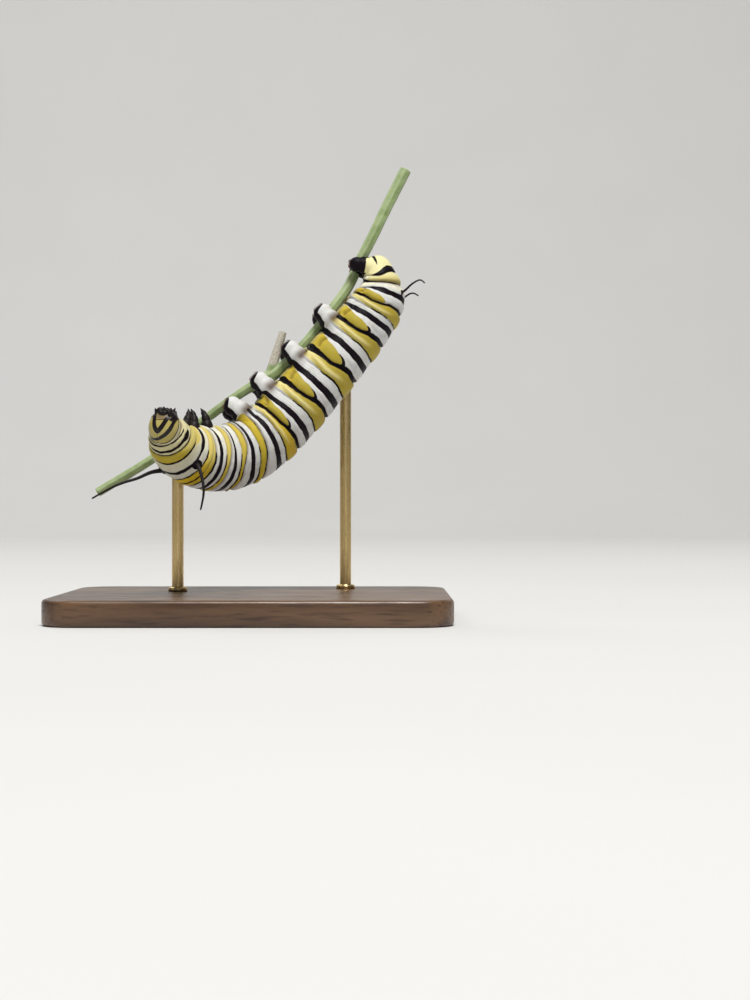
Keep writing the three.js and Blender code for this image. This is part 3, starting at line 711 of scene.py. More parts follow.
def chord_curve(points, count):
    """A centripetal curve through points, even in length: Hermite pieces whose slopes use root distances."""
    p = np.asarray(points, dtype=float)
    p = np.concatenate([[2 * p[0] - p[1]], p, [2 * p[-1] - p[-2]]])
    d = np.sqrt(np.linalg.norm(np.diff(p, axis=0), axis=1))[:, None]
    p0, p1, p2, p3, d0, d1, d2 = p[:-3], p[1:-2], p[2:-1], p[3:], d[:-2], d[1:-1], d[2:]
    m1 = ((p1 - p0) / d0 - (p2 - p0) / (d0 + d1) + (p2 - p1) / d1) * d1
    m2 = ((p2 - p1) / d1 - (p3 - p1) / (d1 + d2) + (p3 - p2) / d2) * d1
    p1, p2, m1, m2 = (v[:, None, :] for v in (p1, p2, m1, m2))
    t = np.linspace(0, 1, 60, endpoint=False)[None, :, None]
    line = p1 * (2 * t**3 - 3 * t**2 + 1) + m1 * (t**3 - 2 * t**2 + t) + p2 * (3 * t**2 - 2 * t**3)
    line = line + m2 * (t**3 - t**2)
    line = np.concatenate([line.reshape(-1, 3), p[-2:-1]])
    run = run_along(line)
    even = np.linspace(0, run[-1], count)
    return np.stack([np.interp(even, run, line[:, k]) for k in range(3)], -1)


def socket_of(line):
    """First point of a line that is as far from the centreline as the skin."""
    apart = np.linalg.norm(line[:, None, :] - centre_at(rows_s)[None], axis=-1)
    outside = apart.min(1) > body_radius(rows_s)[apart.argmin(1)]
    return line[outside.argmax()]


sockets = {name: socket_of(chord_curve(points, 400)) for name, points in FEELERS.items()}
print("sockets at", {name: np.round(at, 1).tolist() for name, at in sockets.items()})

# %% [markdown]
# A proleg is a short fleshy finger that the same skin stretches over. Around its root each grid
# point has a share of the distance from the middle of the root to its rim. That share says how far
# up the finger the point moves, and the direction from the middle says on which side of it, so the
# skin rises as a sleeve and closes in a dome, with a soft fillet where it leaves the body.

# %% Plain skin points
def skin_point(place, angle, extra):
    """Centre plus back times the cosine and right times the sine of the angle, times the radius."""
    centre, left, _, back = body_frame(place)
    radius = body_radius(place) + extra
    up = radius * np.cos(angle)
    up = np.where(up < 0, up * BELLY_SHARE, up)
    return centre + back * up[:, None] - left * (radius * np.sin(angle))[:, None]


# For a front and a rear feeler: how far its black socket reaches, how high it rises, and how wide.
SOCKET_SHAPES = {"front": (0.62, 0.24, 0.5), "rear": (0.34, 0.16, 0.3)}
taper = np.clip(body_radius(S) / 1.5, 0, 1)
fine_wrinkles = 0.012 * np.sin(S * 21 + 2.5 * np.sin(A * 3) + 1.3 * np.sin(A * 7 + S))
flank_groove = -0.07 * bell(ABS_A, 131, 5) * ramp(S, place_of["abdomen_1"], place_of["abdomen_3"])
relief = (lift + fine_wrinkles + flank_groove + 0.05) * taper
skin = skin_point(S, A, relief)
normal_out = unit(skin_point(S, A, relief + 0.1) - skin)
for name, at in sockets.items():
    reach, rise, width = SOCKET_SHAPES[name.split("_")[1]]
    apart = np.linalg.norm(skin - at, axis=1)
    paint("black", reach - apart)
    skin = skin + normal_out * (rise * bell(apart, 0, width))[:, None]
print("plain skin is", round(float(np.ptp(skin[:, 2])), 1), "mm tall")

# %% Limb curves
DOME_START = 0.78


def bezier(points, t):
    """Quadratic curve of three points: the corner pulls it but isn't on it."""
    t = t[:, None]
    return points[0] * (1 - t) ** 2 + points[1] * 2 * t * (1 - t) + points[2] * t**2


def limb_radius(radii, t):
    """Radius of root, knee and foot along a limb, closing in a dome."""
    dome = np.sqrt(np.clip(1 - (np.clip(t - DOME_START, 0, 1) / (1 - DOME_START)) ** 2, 0, 1))
    return np.interp(t, [0, 0.5, 1], radii) * dome


def limb_points(ring, plan, side):
    """A limb's root, knee and foot, from its plan on a ring."""
    return np.array([place_from(ring, *place, side) for place in plan])


print("a limb's dome takes up", round(1 - DOME_START, 2), "of its length")

# %% Prolegs out of the skin
# The radius in millimetres of the patch that each finger grows from, how far beyond it the fillet
# reaches, and where on the limb's curve the finger leaves the skin.
PROLEG_PATCH, ANAL_PATCH = 1.3, 0.85
FILLET_REACH = 1.4
PROLEG_START, ANAL_START = 0.28, 0.3


def grow_finger(name, side, radii, patch, start):
    """Moves the skin points within a patch onto a finger along the limb's curve."""
    ring, *plan = PROLEGS[name]
    points = limb_points(ring, plan, side)
    t = np.linspace(start, 1, 300)
    axis, radius = bezier(points, t), limb_radius(radii, t)
    run = run_along(axis, np.diff(radius))
    behind, down, out = (np.interp(start, [0, 0.5, 1], [p[k] for p in plan]) for k in range(3))
    root_s = place_of[ring] + behind
    root_a = (math.pi - math.atan2(out, down)) * -side
    on_body = min(root_s, knots[-1])
    a = (S - root_s) / patch
    b = ((A - root_a + math.pi) % TAU - math.pi) * float(body_radius(np.array([on_body]))[0]) / patch
    near = np.hypot(a, b) < FILLET_REACH
    rim, turn = np.hypot(a, b)[near], np.arctan2(b, a)[near]
    travel = np.clip(1 - rim, 0, 1) * run[-1]
    t_here = np.interp(travel, run, t)
    inner = np.clip(t_here, 0.02, 0.98)
    slope = unit(bezier(points, inner + 0.01) - bezier(points, inner - 0.01))
    _, left, along, back = (v[0] for v in body_frame(on_body))
    around = -back * math.sin(root_a) - left * math.cos(root_a)
    e1 = unit(along - (slope @ along)[:, None] * slope)
    e2 = around - (slope @ around)[:, None] * slope
    e2 = unit(e2 - (e2 * e1).sum(-1, keepdims=True) * e1)
    puff = 1 + 0.05 * np.sin(t_here * 19) * (t_here < DOME_START)
    ring_radius = np.interp(travel, run, radius) * np.maximum(rim, 1) ** 0.8 * puff
    outward = np.cos(turn)[:, None] * e1 + np.sin(turn)[:, None] * e2
    finger = bezier(points, t_here) + ring_radius[:, None] * outward
    blend = ramp(-rim, 0.02 - FILLET_REACH, -0.92)[:, None]
    skin[near] = skin[near] * (1 - blend) + finger * blend
    return near, (t_here - start) / (1 - start) * blend[:, 0], turn, rim


black, yellow, fold_shade = layers["black"], layers["yellow"], layers["fold_shade"]
for name in PROLEGS:
    anal = name == "anal_proleg"
    for side in (1, -1):
        if anal:
            near, share, turn, rim = grow_finger(name, side, ANAL_PROLEG_RADII, ANAL_PATCH, ANAL_START)
            black[near] = np.maximum(black[near], (share - 0.02) * 2)
            continue
        near, share, turn, rim = grow_finger(name, side, PROLEG_RADII, PROLEG_PATCH, PROLEG_START)
        fore = -np.cos(turn)                    # 1 on the side towards the head
        shoe = (share - 0.75 + 0.16 * fore) * 3.0
        front_band = (fore - 0.66 + 0.24 * share) * 0.8
        onto = ramp(share, 0.02, 0.12)
        black[near] = black[near] * (1 - onto) + np.maximum(shoe, front_band) * onto
        yellow[near] = yellow[near] * (1 - onto) - 0.5 * onto
        belly[near] = belly[near] * (1 - ramp(share, 0.0, 0.2))
        root_fold = bell(rim, 1, 0.17) * (0.3 + 0.7 * ramp(-fore, -0.5, 0.2))
        # painted shade in the fold around the proleg's root
        fold_shade[near] = np.maximum(fold_shade[near] * (1 - onto), 1.35 * root_fold)
        skin[near] -= normal_out[near] * (0.16 * root_fold)[:, None]
print("ten prolegs grown, the skin is now", round(float(np.ptp(skin[:, 2])), 1), "mm tall")

# %% [markdown]
# The prolegs and the tail press on the stem. Any skin point that would sink into it is moved
# straight out to its surface, so the soft feet flatten where they grip.

# %% Stem line and pressed skin
STEM_LINE = [(17.9, 8.8, 54.8), (15.3, 7.9, 49.5), (13.85, 7.5, 46.4), (12.25, 7.0, 43.2), (11.0, 6.0, 40.25),
             (8.7, 4.5, 36.8), (5.95, 3.7, 33.2), (2.35, 3.0, 29.5), (-1.9, 2.5, 26.85), (-6.9, 3.0, 23.25),
             (-12.4, 3.8, 19.2), (-19.45, 4.7, 14.95)]
STEM_RADIUS = 0.74
STEM_TAPER = 0.17
JOINT_SHARE = 0.557
JOINT_SWELLING = 0.26
JOINT_HALF = 0.035
STEM_POINTS = 700
PRESS_GAP = 0.03


def stem_radius(share):
    """Radius along the stem, thinner in its lower half, with a swelling at the joint."""
    swelling = JOINT_SWELLING * bell(share, JOINT_SHARE, JOINT_HALF)
    return STEM_RADIUS - STEM_TAPER * np.minimum(1, share * 2) + swelling


stem_points = chord_curve(STEM_LINE, STEM_POINTS)
stem_shares = np.linspace(0, 1, STEM_POINTS)
low, high = stem_points.min(0) - 2, stem_points.max(0) + 2
close = np.flatnonzero((ABS_A > 110) & np.all((skin > low) & (skin < high), axis=1))
pressed = 0
for chunk in np.array_split(close, 40):
    offset = skin[chunk][:, None, :] - stem_points[None]
    apart = np.linalg.norm(offset, axis=-1)
    k = apart.argmin(1)
    one_each = np.arange(len(chunk)), k
    distance, wanted = apart[one_each], stem_radius(stem_shares[k]) + PRESS_GAP
    inside = distance < wanted
    skin[chunk[inside]] += unit(offset[one_each])[inside] * (wanted - distance)[inside][:, None]
    pressed += int(inside.sum())
print(pressed, "skin points rest on the stem")

# %% Skin mesh
# The skin's front end is drawn in under the head by three more rings: their place and their share
# of the neck's radius.
NECK_ROWS = np.array([(0.16, 0.3), (0.06, 0.62), (-0.02, 0.9)])
MAP_LENGTH = 50.0                               # millimetres along the body to one unit of the map
# the neck rings are cream, with full painted leaf shade and painted shade where they go in under the head
NECK_LAYERS = {"black": -1, "yellow": -1, "straw": 1, "cream": 1, "fold_shade": 1}
neck_place, neck_share = NECK_ROWS.T
neck_centre, neck_left, _, neck_back = (v[:, None] for v in body_frame(neck_place))
neck_radius = (body_radius(np.zeros(3)) * neck_share)[:, None, None]
angle_row = columns_a[None, :, None]
neck_points = neck_centre + neck_radius * (neck_back * np.cos(angle_row) - neck_left * np.sin(angle_row))
layers.update(plate=plate, straw=straw, belly=belly)
neck_pad = np.ones(neck_points[..., 0].size)
skin_values = {n: np.concatenate([neck_pad * NECK_LAYERS.get(n, 0), v]) for n, v in layers.items()}
all_points = np.concatenate([neck_points.reshape(-1, 3), skin])
all_rows = len(NECK_ROWS) + ROWS
skin_faces = [corners[::-1] for corners in tube_faces(all_rows, COLUMNS)]      # turned to face outwards
skin_piece = smooth_mesh("larva_skin", all_points, skin_faces, skin_values)
around_share = np.tile((columns_a + math.pi) / TAU, all_rows)
along_mm = np.concatenate([neck_pad * 0, S])
loops = np.empty(len(skin_piece.data.loops), dtype=np.int32)
skin_piece.data.loops.foreach_get("vertex_index", loops)
uv = skin_piece.data.uv_layers.new(name="lengthwise")
uv.data.foreach_set("uv", np.stack([along_mm[loops] / MAP_LENGTH, around_share[loops]], -1).ravel())
print("skin has", len(loops), "corners")

# %% [markdown]
# Living larval skin is satiny and slightly translucent. White is a cool grey-white that turns creamier near
# the head, gold turns orange on the back, and black is a purple-black. Near the head the white and gold also
# carry painted shade, as if a leaf hung over them, the folds carry painted shade, and the gold ridges a
# painted highlight. Fine pores and wrinkles break the highlights. Light scatters a fraction of a millimetre
# into the pale stripes.

# %% Skin colours
skin_look = Finish("larva_skin")
speck = skin_look.noise(0.16, 3)
coarse = skin_look.noise(0.9, 2)
edge = skin_look.ragged(skin_look.math("ADD", speck, skin_look.noise(0.55, 1)), 1.0, 0.06)
black_mask = skin_look.cut("black", edge, -0.022, 0.022)
yellow_mask = skin_look.cut("yellow", edge, -0.06, 0.08)
white = skin_look.coats(
    (0.7, 0.71, 0.72),
    (skin_look.value("cream"), (0.88, 0.85, 0.66)),
    (skin_look.step(coarse, 0.4, 0.8), (0.6, 0.6, 0.56)),
    # painted leaf shade near the head: a darker straw tint
    (skin_look.value("straw", 0.8), (0.62, 0.56, 0.28)))
gold = skin_look.coats(
    (0.7, 0.51, 0.03),
    (skin_look.value("orange"), (0.72, 0.4, 0.01)),
    # olive: the own colour of the patches and front rings, and painted leaf shade on the first ring
    (skin_look.value("olive_and_shade", 0.85), (0.42, 0.345, 0.06)),
    (skin_look.step(coarse, 0.42, 0.7, 0.0, 0.4), (0.46, 0.34, 0.02)),
    # painted highlight on the gold ridges, and paler yellow on the flanks and front rings
    (skin_look.value("highlight_and_pale", 0.75), (0.88, 0.8, 0.38)),
    (skin_look.value("plate", 0.9), (0.9, 0.85, 0.48)))
dark = skin_look.mix(skin_look.step(speck, 0.45, 0.8), (0.005, 0.003, 0.006), (0.016, 0.008, 0.012))
skin_tone = skin_look.coats(
    white,
    (yellow_mask, gold),
    (skin_look.value("belly", 0.55), (0.33, 0.34, 0.27)),
    # painted shade in the folds and where the skin goes in under the head
    (skin_look.value("fold_shade", 0.7), (0.1, 0.06, 0.035)),
    (black_mask, dark))
print("colours mixed with", len(skin_look.tree.nodes), "nodes")

# %% Skin finish
gloss = skin_look.step(speck, 0.3, 0.7, 0.42, 0.56)
pores = skin_look.bump(skin_look.noise(0.1, 4), 0.02, 0.55)
lengthwise = skin_look.add("UVMap", uv_map="lengthwise").outputs[0]
wrinkle = skin_look.streaks(lengthwise, (MAP_LENGTH, 9.0, 1.0), 5.5, 3.0)
skin_material = skin_look.surface(
    Base_Color=skin_tone, Roughness=gloss, Normal=skin_look.bump(wrinkle, 0.04, 0.4, pores),
    Subsurface_Weight=0.16, Subsurface_Radius=(1.0, 0.7, 0.4), Subsurface_Scale=0.00035,
    Specular_IOR_Level=0.1)
flesh_nodes = [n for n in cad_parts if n.startswith(("thorax", "abdomen", "proleg", "anal"))]
finish(skin_piece, skin_material, "skin", *flesh_nodes)

# %% [markdown]
# The head is a hard, smooth capsule of two domed halves. Its face is a yellow triangle set inside
# two nested black wedges that open towards the mouth. The wedges are written as distances from the
# capsule's middle line, in the head's own directions: its right, the way the face looks, and the crown.

# %% Head frame
HEAD_CENTRE = np.array([-9.72, -8.5, 22.25])
FACE = unit(np.array([-0.4, -0.918, 0.026]))
CROWN = np.array([-0.178, 0.05, -0.984])
CROWN = unit(CROWN - (CROWN @ FACE) * FACE)
HEAD_RIGHT = np.cross(FACE, CROWN)
HEAD_HALF = (1.84, 1.5, 2.0)
LOBE_OFFSET = 0.22


def head_place(points):
    """Places in the head's own frame, right, face and crown, as places in the whole."""
    p = np.asarray(points, dtype=float)
    return HEAD_CENTRE + p[..., :1] * HEAD_RIGHT + p[..., 1:2] * FACE + p[..., 2:3] * CROWN


def sphere_grid(columns, rows):
    """Unit directions on a sphere by longitude and latitude, without the poles, and its faces."""
    lon = np.linspace(0, TAU, columns, endpoint=False)
    lat = np.linspace(-math.pi / 2, math.pi / 2, rows + 2)[1:-1]
    lat, lon = np.meshgrid(lat, lon, indexing="ij")
    grid = np.stack([np.cos(lat) * np.cos(lon), np.cos(lat) * np.sin(lon), np.sin(lat)], -1)
    return grid.reshape(-1, 3), tube_faces(rows, columns)


head_dirs, head_faces = sphere_grid(260, 170)
x, y, z = head_dirs.T
lobe = LOBE_OFFSET * np.tanh(x / 0.16)
head_local = np.stack([(HEAD_HALF[0] - LOBE_OFFSET) * x + lobe, HEAD_HALF[1] * y, HEAD_HALF[2] * z], -1)
head_local = head_local * (1 - 0.03 * bell(x, 0, 0.05) * ramp(z, -0.05, 0.25))[:, None]
head_local[:, 1] -= 0.05 * bell(x, 0, 0.32) * bell(z, -0.3, 0.35) * (y > 0)
print("head is", round(float(np.ptp(head_local[:, 0])), 2), "mm wide")

# %% Head markings
hx, hy, hz = head_local.T


def brush(points, halves):
    """Inside distance of a brush line over the face: its half width less the way to its nearest point."""
    line = chord_curve([(x, 0, z) for x, z in points], 240)
    half = np.interp(np.linspace(0, 1, 240), np.linspace(0, 1, len(halves)), halves)
    apart = np.hypot(hx[:, None] - line[:, 0], hz[:, None] - line[:, 2])
    nearest = apart.argmin(1)
    inside = half[nearest] - apart[np.arange(len(hx)), nearest]
    return np.where(hy > 0, inside, -0.3)


# Each brush line has points to the right and up on the face, and half widths along it.
INNER_WEDGE = [(-0.9, -1.75), (-0.86, -1.25), (-0.64, -0.5), (-0.4, 0.12), (-0.13, 0.45), (0.0, 0.52),
               (0.13, 0.45), (0.4, 0.12), (0.66, -0.5), (0.86, -1.25), (0.9, -1.75)]
OUTER_WEDGE = [(-1.45, -1.6), (-1.6, -1.1), (-1.66, -0.3), (-1.55, 0.6), (-1.25, 1.25), (-0.75, 1.5),
               (-0.35, 1.5), (0.05, 1.4), (0.45, 1.18), (0.98, 0.74), (1.37, 0.06), (1.5, -0.7), (1.47, -1.2),
               (1.42, -1.6)]
LIP_LINE = [(-0.55, -0.72), (0.0, -0.78), (0.55, -0.92)]
suture = np.where((hy > 0) & (hz > 0.5) & (hz < 1.3), 0.02 - np.abs(hx), -0.3)
rear_plane = hy - 0.25 * hz - 0.1               # the back edge of the capsule, where the soft neck begins
mouth_edge = -(hz + 1.52) + 0.4 * ramp(np.abs(hx), 0.8, 1.35)
eye_field = 0.24 - np.hypot(np.abs(hx) - 1.3, hz + 1.05) * np.where(hy > 0, 1, 9)
head_black = np.max([
    brush(INNER_WEDGE, (0.18, 0.25, 0.27, 0.29, 0.27, 0.25, 0.18)),
    brush(OUTER_WEDGE, (0.1, 0.14, 0.19, 0.19, 0.14, 0.18, 0.2, 0.13, 0.1)),
    brush(LIP_LINE, (0.045, 0.045)), suture, 0.08 - np.abs(rear_plane), mouth_edge, eye_field * 0.8], axis=0)
muzzle = ramp(-hz, 0.75, 0.95) * ramp(-np.abs(hx), -0.9, -0.6) * (hy > 0)
head_values = {"black": head_black, "neck": ramp(-rear_plane, 0.02, 0.12), "muzzle": muzzle}
head_piece = smooth_mesh("head_capsule", head_place(head_local), head_faces, head_values)
print("black covers", round(float((head_black > 0).mean()), 2), "of the head's grid")

# %% Head finish
head_look = Finish("head_capsule")
head_mask = head_look.cut("black", head_look.ragged(head_look.noise(0.12, 3), 0.5, 0.04), -0.02, 0.02)
# the head's gold and brown are darkened by about a quarter: painted shade, as if a leaf hung over the head
head_tone = head_look.coats(
    (0.42, 0.34, 0.085),
    (head_look.noise(0.7), (0.54, 0.45, 0.15)),
    (head_look.value("muzzle"), (0.24, 0.18, 0.09)),
    (head_look.value("neck"), (0.72, 0.68, 0.48)),
    (head_mask, (0.008, 0.004, 0.006)))
head_normal = head_look.bump(head_look.noise(0.12, 3), 0.008, 0.5)
head_material = head_look.surface(
    Base_Color=head_tone, Roughness=0.36, Normal=head_normal, Specular_IOR_Level=0.3, Coat_Weight=0.08,
    Coat_Roughness=0.2)
finish(head_piece, head_material, "head_capsule", "head")

# %% [markdown]
# Below the face sit the mouthparts: a notched upper lip, a pair of black jaws, two small palps and
# the spinneret that lays the silk. They are small eggs pulled into shape, joined into one piece.

# %% Many parts in one piece
def joined(name, parts, values=None):
    """One object from several closed grids: the corner numbers of each are moved past those before it."""
    points, faces, start = [], [], 0
    for part_points, part_faces in parts:
        points.append(part_points)
        faces += [[c + start for c in f] for f in part_faces]
        start += len(part_points)
    return smooth_mesh(name, np.concatenate(points), faces, values)


def head_egg(at, half, columns=28, rows=16, notch=0.0):
    """An ellipsoid in the head's frame. A notch pulls in the middle of its lower edge."""
    directions, faces = sphere_grid(columns, rows)
    local = directions * half
    local[:, 2] += half[2] * notch * bell(directions[:, 0], 0, 0.25) * (directions[:, 2] < 0)
    return head_place(local + at), faces


# Each part's place, half sizes and notch. Those away from the middle come in pairs.
MOUTHPARTS = {
    "lip": ((0, 0.95, -1.6), (0.62, 0.3, 0.38), 0.5),
    "jaw": ((0.55, 0.55, -1.78), (0.48, 0.42, 0.4), 0),
    "palp": ((0.45, 0.05, -1.9), (0.28, 0.28, 0.34), 0),
    "palp tip": ((0.47, 0.08, -2.14), (0.14, 0.14, 0.16), 0),
    "spinneret": ((0, 0.05, -1.95), (0.3, 0.28, 0.3), 0),
}
mouth_parts = []
for (right, front, up), half, notch in MOUTHPARTS.values():
    for side in (1, -1) if right else (1,):
        mouth_parts.append(head_egg((right * side, front, up), half, notch=notch))
mouth = joined("mouthparts", mouth_parts)
print("mouth made of", len(mouth_parts), "small forms")

# %% Horn finish
horn_look = Finish("black_horn")
horn_tone = horn_look.mix(horn_look.noise(0.3, 3), (0.005, 0.004, 0.005), (0.018, 0.011, 0.011))
horn_normal = horn_look.bump(horn_look.noise(0.12, 2), 0.006, 0.35)
horn_material = horn_look.surface(
    Base_Color=horn_tone, Roughness=0.5, Normal=horn_normal, Specular_IOR_Level=0.22)
finish(mouth, horn_material, "horn")

# %% Small eyes
# Six tiny glossy eyes in a curve above each antenna, sunk a little into the capsule.
EYE_MIDDLE = (1.3, -1.05)
EYE_CURVE = 0.2
EYE_HALF = (0.065, 0.05, 0.065)
EYE_SINK = 0.015
eye_parts = []
for side in (1, -1):
    for turn in np.linspace(-0.5, 3.9, 6):
        ex, ez = EYE_MIDDLE[0] + EYE_CURVE * math.cos(turn), EYE_MIDDLE[1] + EYE_CURVE * math.sin(turn)
        across, upwards = (ex - LOBE_OFFSET) / (HEAD_HALF[0] - LOBE_OFFSET), ez / HEAD_HALF[2]
        ey = HEAD_HALF[1] * math.sqrt(max(0.02, 1 - across**2 - upwards**2))
        eye_parts.append(head_egg((ex * side, ey - EYE_SINK, ez), EYE_HALF, 14, 8))
eyes = joined("small_eyes", eye_parts)
eye_look = Finish("eye_bead")
eye_tone = eye_look.mix(eye_look.noise(0.05), (0.01, 0.006, 0.006), (0.05, 0.025, 0.012))
finish(eyes, eye_look.surface(Base_Color=eye_tone, Roughness=0.3), "horn")

# %% [markdown]
# Legs, antennae and feelers are all tapered tubes. One function sweeps rings along a line with
# frames carried forward by the smallest turn, so they never twist, and takes any list of radii.

# %% Swept tubes
def circle(count):
    """Angles around a ring, shaped to be combined with points along a line."""
    return np.linspace(0, TAU, count, endpoint=False)[None, :, None]


def sweep(line, radii, around, start=(0.31, 0.52, 0.79)):
    """Rings along a line: each ring's first direction is the last one's, made square to the new slope."""
    slope = unit(np.gradient(line, axis=0))
    side = np.cross(slope[0], start)
    sides = []
    for tangent in slope:
        side = side - (side @ tangent) * tangent
        side = side / np.linalg.norm(side)
        sides.append(side)
    e1 = np.array(sides)
    e2 = np.cross(slope, e1)
    turn = circle(around)
    outward = e1[:, None] * np.cos(turn) + e2[:, None] * np.sin(turn)
    rings = line[:, None] + np.asarray(radii)[:, None, None] * outward
    return rings.reshape(-1, 3), tube_faces(len(line), around)


def horn_tube(node, line, radii, around):
    """A black swept tube that stands for one node of the frame."""
    finish(smooth_mesh(node + "_horn", *sweep(line, radii, around)), horn_material, "horn", node)


# %% Legs
# Each leg's ring, then its root, knee and foot: behind the ring's station, down and out.
LEGS = {
    "leg_1": ("thorax_1", (0.35, 1.3, 1.0), (0.35, 3.0, 1.35), (-0.15, 4.0, 0.85)),
    "leg_2": ("thorax_2", (0.3, 1.9, 1.3), (0.3, 3.8, 1.6), (-0.3, 4.9, 1.0)),
    "leg_3": ("thorax_3", (0.2, 2.6, 1.3), (0.1, 4.4, 1.65), (-0.5, 5.5, 1.1)),
}
# Radius along a leg: three horny joints, each set into the one before it, and a thin claw.
LEG_PROFILE = [(0, 0.74), (0.26, 0.7), (0.34, 0.62), (0.4, 0.5), (0.46, 0.51), (0.58, 0.46), (0.64, 0.38),
               (0.69, 0.33), (0.74, 0.33), (0.81, 0.28), (0.87, 0.17), (0.91, 0.13), (1, 0.03)]
t = np.linspace(0, 1, 150)
leg_radii = np.interp(t, *np.array(LEG_PROFILE).T)
for name, (ring, *plan) in LEGS.items():
    for side_name, side in (("left", 1), ("right", -1)):
        horn_tube(f"{name}_{side_name}", bezier(limb_points(ring, plan, side), t), leg_radii, 28)

# %% Feelers
# Radius at the root, along the feeler, and at its tip.
FEELER_RADII = {"front": (0.46, 0.235, 0.1), "rear": (0.32, 0.165, 0.08)}


def feeler_radii(t, root, middle, tip):
    """A cone at the root that fades fast, on a long even taper with a rounded tip."""
    dome = np.sqrt(np.clip(1 - np.clip((t - 0.985) / 0.015, 0, 1) ** 2, 0.02, 1))
    return (tip + (middle - tip) * (1 - t) + (root - middle) * np.exp(-t / 0.1)) * dome


t = np.linspace(0, 1, 140)
rough = 1 + 0.03 * np.sin(t * 260) * np.cos(t * 97)
for name, points in FEELERS.items():
    radii = feeler_radii(t, *FEELER_RADII[name.split("_")[1]])
    horn_tube(name, chord_curve(points, len(t)), radii * rough, 18)

# %% Antennae
# Root and direction in the head's frame, length and droop in millimetres.
ANTENNA_ROOT = (0.8, 0.7, -1.25)
ANTENNA_LEAN = (0.25, 0.55, -0.9)
ANTENNA_LENGTH = 0.75
ANTENNA_DROOP = 0.12
t = np.linspace(0, 1, 60)
antenna_radii = np.interp(t, [0, 0.45, 0.5, 0.8, 0.84, 1], [0.24, 0.22, 0.16, 0.15, 0.08, 0.03])
for side_name, side in (("left", -1), ("right", 1)):
    mirror = np.array([side, 1, 1])
    lean = unit(ANTENNA_LEAN * mirror)
    line = ANTENNA_ROOT * mirror + lean * (t * ANTENNA_LENGTH)[:, None]
    line[:, 2] -= ANTENNA_DROOP * t**2
    horn_tube(f"antenna_{side_name}", head_place(line), antenna_radii, 20)

# %% [markdown]
# Each proleg grips with a crown of tiny brown hooks, bent inwards, around its sole. A hook is a short
# curved tube of about thirty faces, and all the hooks are one piece. Hooks whose root would sit
# inside the stem are left out, because the real ones fold away there.

# %% Hooks on the soles
HOOKS_PER_SOLE = 22
HOOK_LENGTH = 0.3
HOOK_RADIUS = 0.032
HOOK_BEND = 1.9                                 # radians from root to tip
SOLE_SHARE = 0.93
CROWN_SHARE = 0.72                              # of the foot's radius
hooks = []
hook_run = np.linspace(0, 1, 6)[:, None]
for name, (ring, *plan) in PROLEGS.items():
    foot_radius = (ANAL_PROLEG_RADII if name == "anal_proleg" else PROLEG_RADII)[2]
    for side in (1, -1):
        middle, before = bezier(limb_points(ring, plan, side), np.array([SOLE_SHARE, SOLE_SHARE - 0.1]))
        down_leg = unit(middle - before)
        across = unit(np.cross(down_leg, [0.3, 0.9, 0.1]))
        beside = np.cross(down_leg, across)
        for turn in np.linspace(0, TAU, HOOKS_PER_SOLE, endpoint=False):
            outward = across * math.cos(turn) + beside * math.sin(turn)
            root = middle + outward * foot_radius * CROWN_SHARE
            if np.linalg.norm(stem_points - root, axis=1).min() < STEM_RADIUS + 0.1:
                continue
            inwards = -outward * (1 - np.cos(hook_run * HOOK_BEND)) * 0.8
            line = root + HOOK_LENGTH * (down_leg * np.sin(hook_run * HOOK_BEND) + inwards)
            hooks.append(sweep(line, HOOK_RADIUS * (1 - 0.8 * hook_run[:, 0]), 5))
hook_look = Finish("hook_horn")
hook_tone = hook_look.mix(hook_look.noise(0.2), (0.12, 0.05, 0.02), (0.24, 0.11, 0.05))
finish(joined("proleg_hooks", hooks), hook_look.surface(Base_Color=hook_tone, Roughness=0.35), "horn")
print(len(hooks), "hooks")

# %% [markdown]
# A larva breathes through a row of small black oval holes low on each flank. Each is a shallow dish
# with a raised rim, laid on the skin where the grid says the skin is.

# %% Breathing holes
BREATHING_RINGS = ["thorax_1"] + [f"abdomen_{k}" for k in range(1, 9)]
HOLE_ANGLE = 117.0
HOLE_HALF = (0.1, 0.17)
HOLE_AROUND = 20
# The dish's profile: share of the hole's half size, and height over the skin.
HOLE_PROFILE = np.array([(0.45, 0.02), (0.7, 0.04), (0.9, 0.04), (1.0, -0.03)])
holes = []
skin_grid = skin.reshape(ROWS, COLUMNS, 3)
share, height = (v[:, None, None] for v in HOLE_PROFILE.T)
for ring in BREATHING_RINGS:
    for side in (1, -1):
        column = int(np.abs(columns_a + side * math.radians(HOLE_ANGLE)).argmin())
        row = int(np.abs(rows_s - deep_at[ring].reshape(ROWS, COLUMNS)[:, column]).argmin())
        at = skin_grid[row, column]
        lengthways = unit(skin_grid[row + 2, column] - skin_grid[row - 2, column])
        round_about = unit(skin_grid[row, (column + 2) % COLUMNS] - skin_grid[row, column - 2])
        outward = np.cross(lengthways, round_about)
        facing = np.sign((at - centre_at(rows_s[row])[0]) @ outward)
        turn = circle(HOLE_AROUND) * -facing
        oval = lengthways * np.cos(turn) * HOLE_HALF[0] + round_about * np.sin(turn) * HOLE_HALF[1]
        dish = at + outward * facing * height + share * oval
        holes.append((dish.reshape(-1, 3), tube_faces(len(HOLE_PROFILE), HOLE_AROUND)))
finish(joined("breathing_holes", holes), horn_material, "horn")

# %% [markdown]
# The stem is a ribbed green shoot with a swollen joint where a leaf stalk was cut, painted paler on the sides
# that face up as painted light. Its ends are cut flat. It is swept like the tubes before, with ribs and small
# lumps added to the radius.

# %% Stem surface
STUB_LENGTH = 5.6
STUB_RADIUS = 0.48
STUB_FLARE = 1.35
STUB_DIRECTION = unit(np.array([0.3, 0.05, 1.0]))
STUB_ROWS = 80
STUB_AROUND = 48
STEM_ROWS = 520
STEM_AROUND = 72
RIB_ROOM = 0.01                                 # the ribs rise by about this much from the plain radius


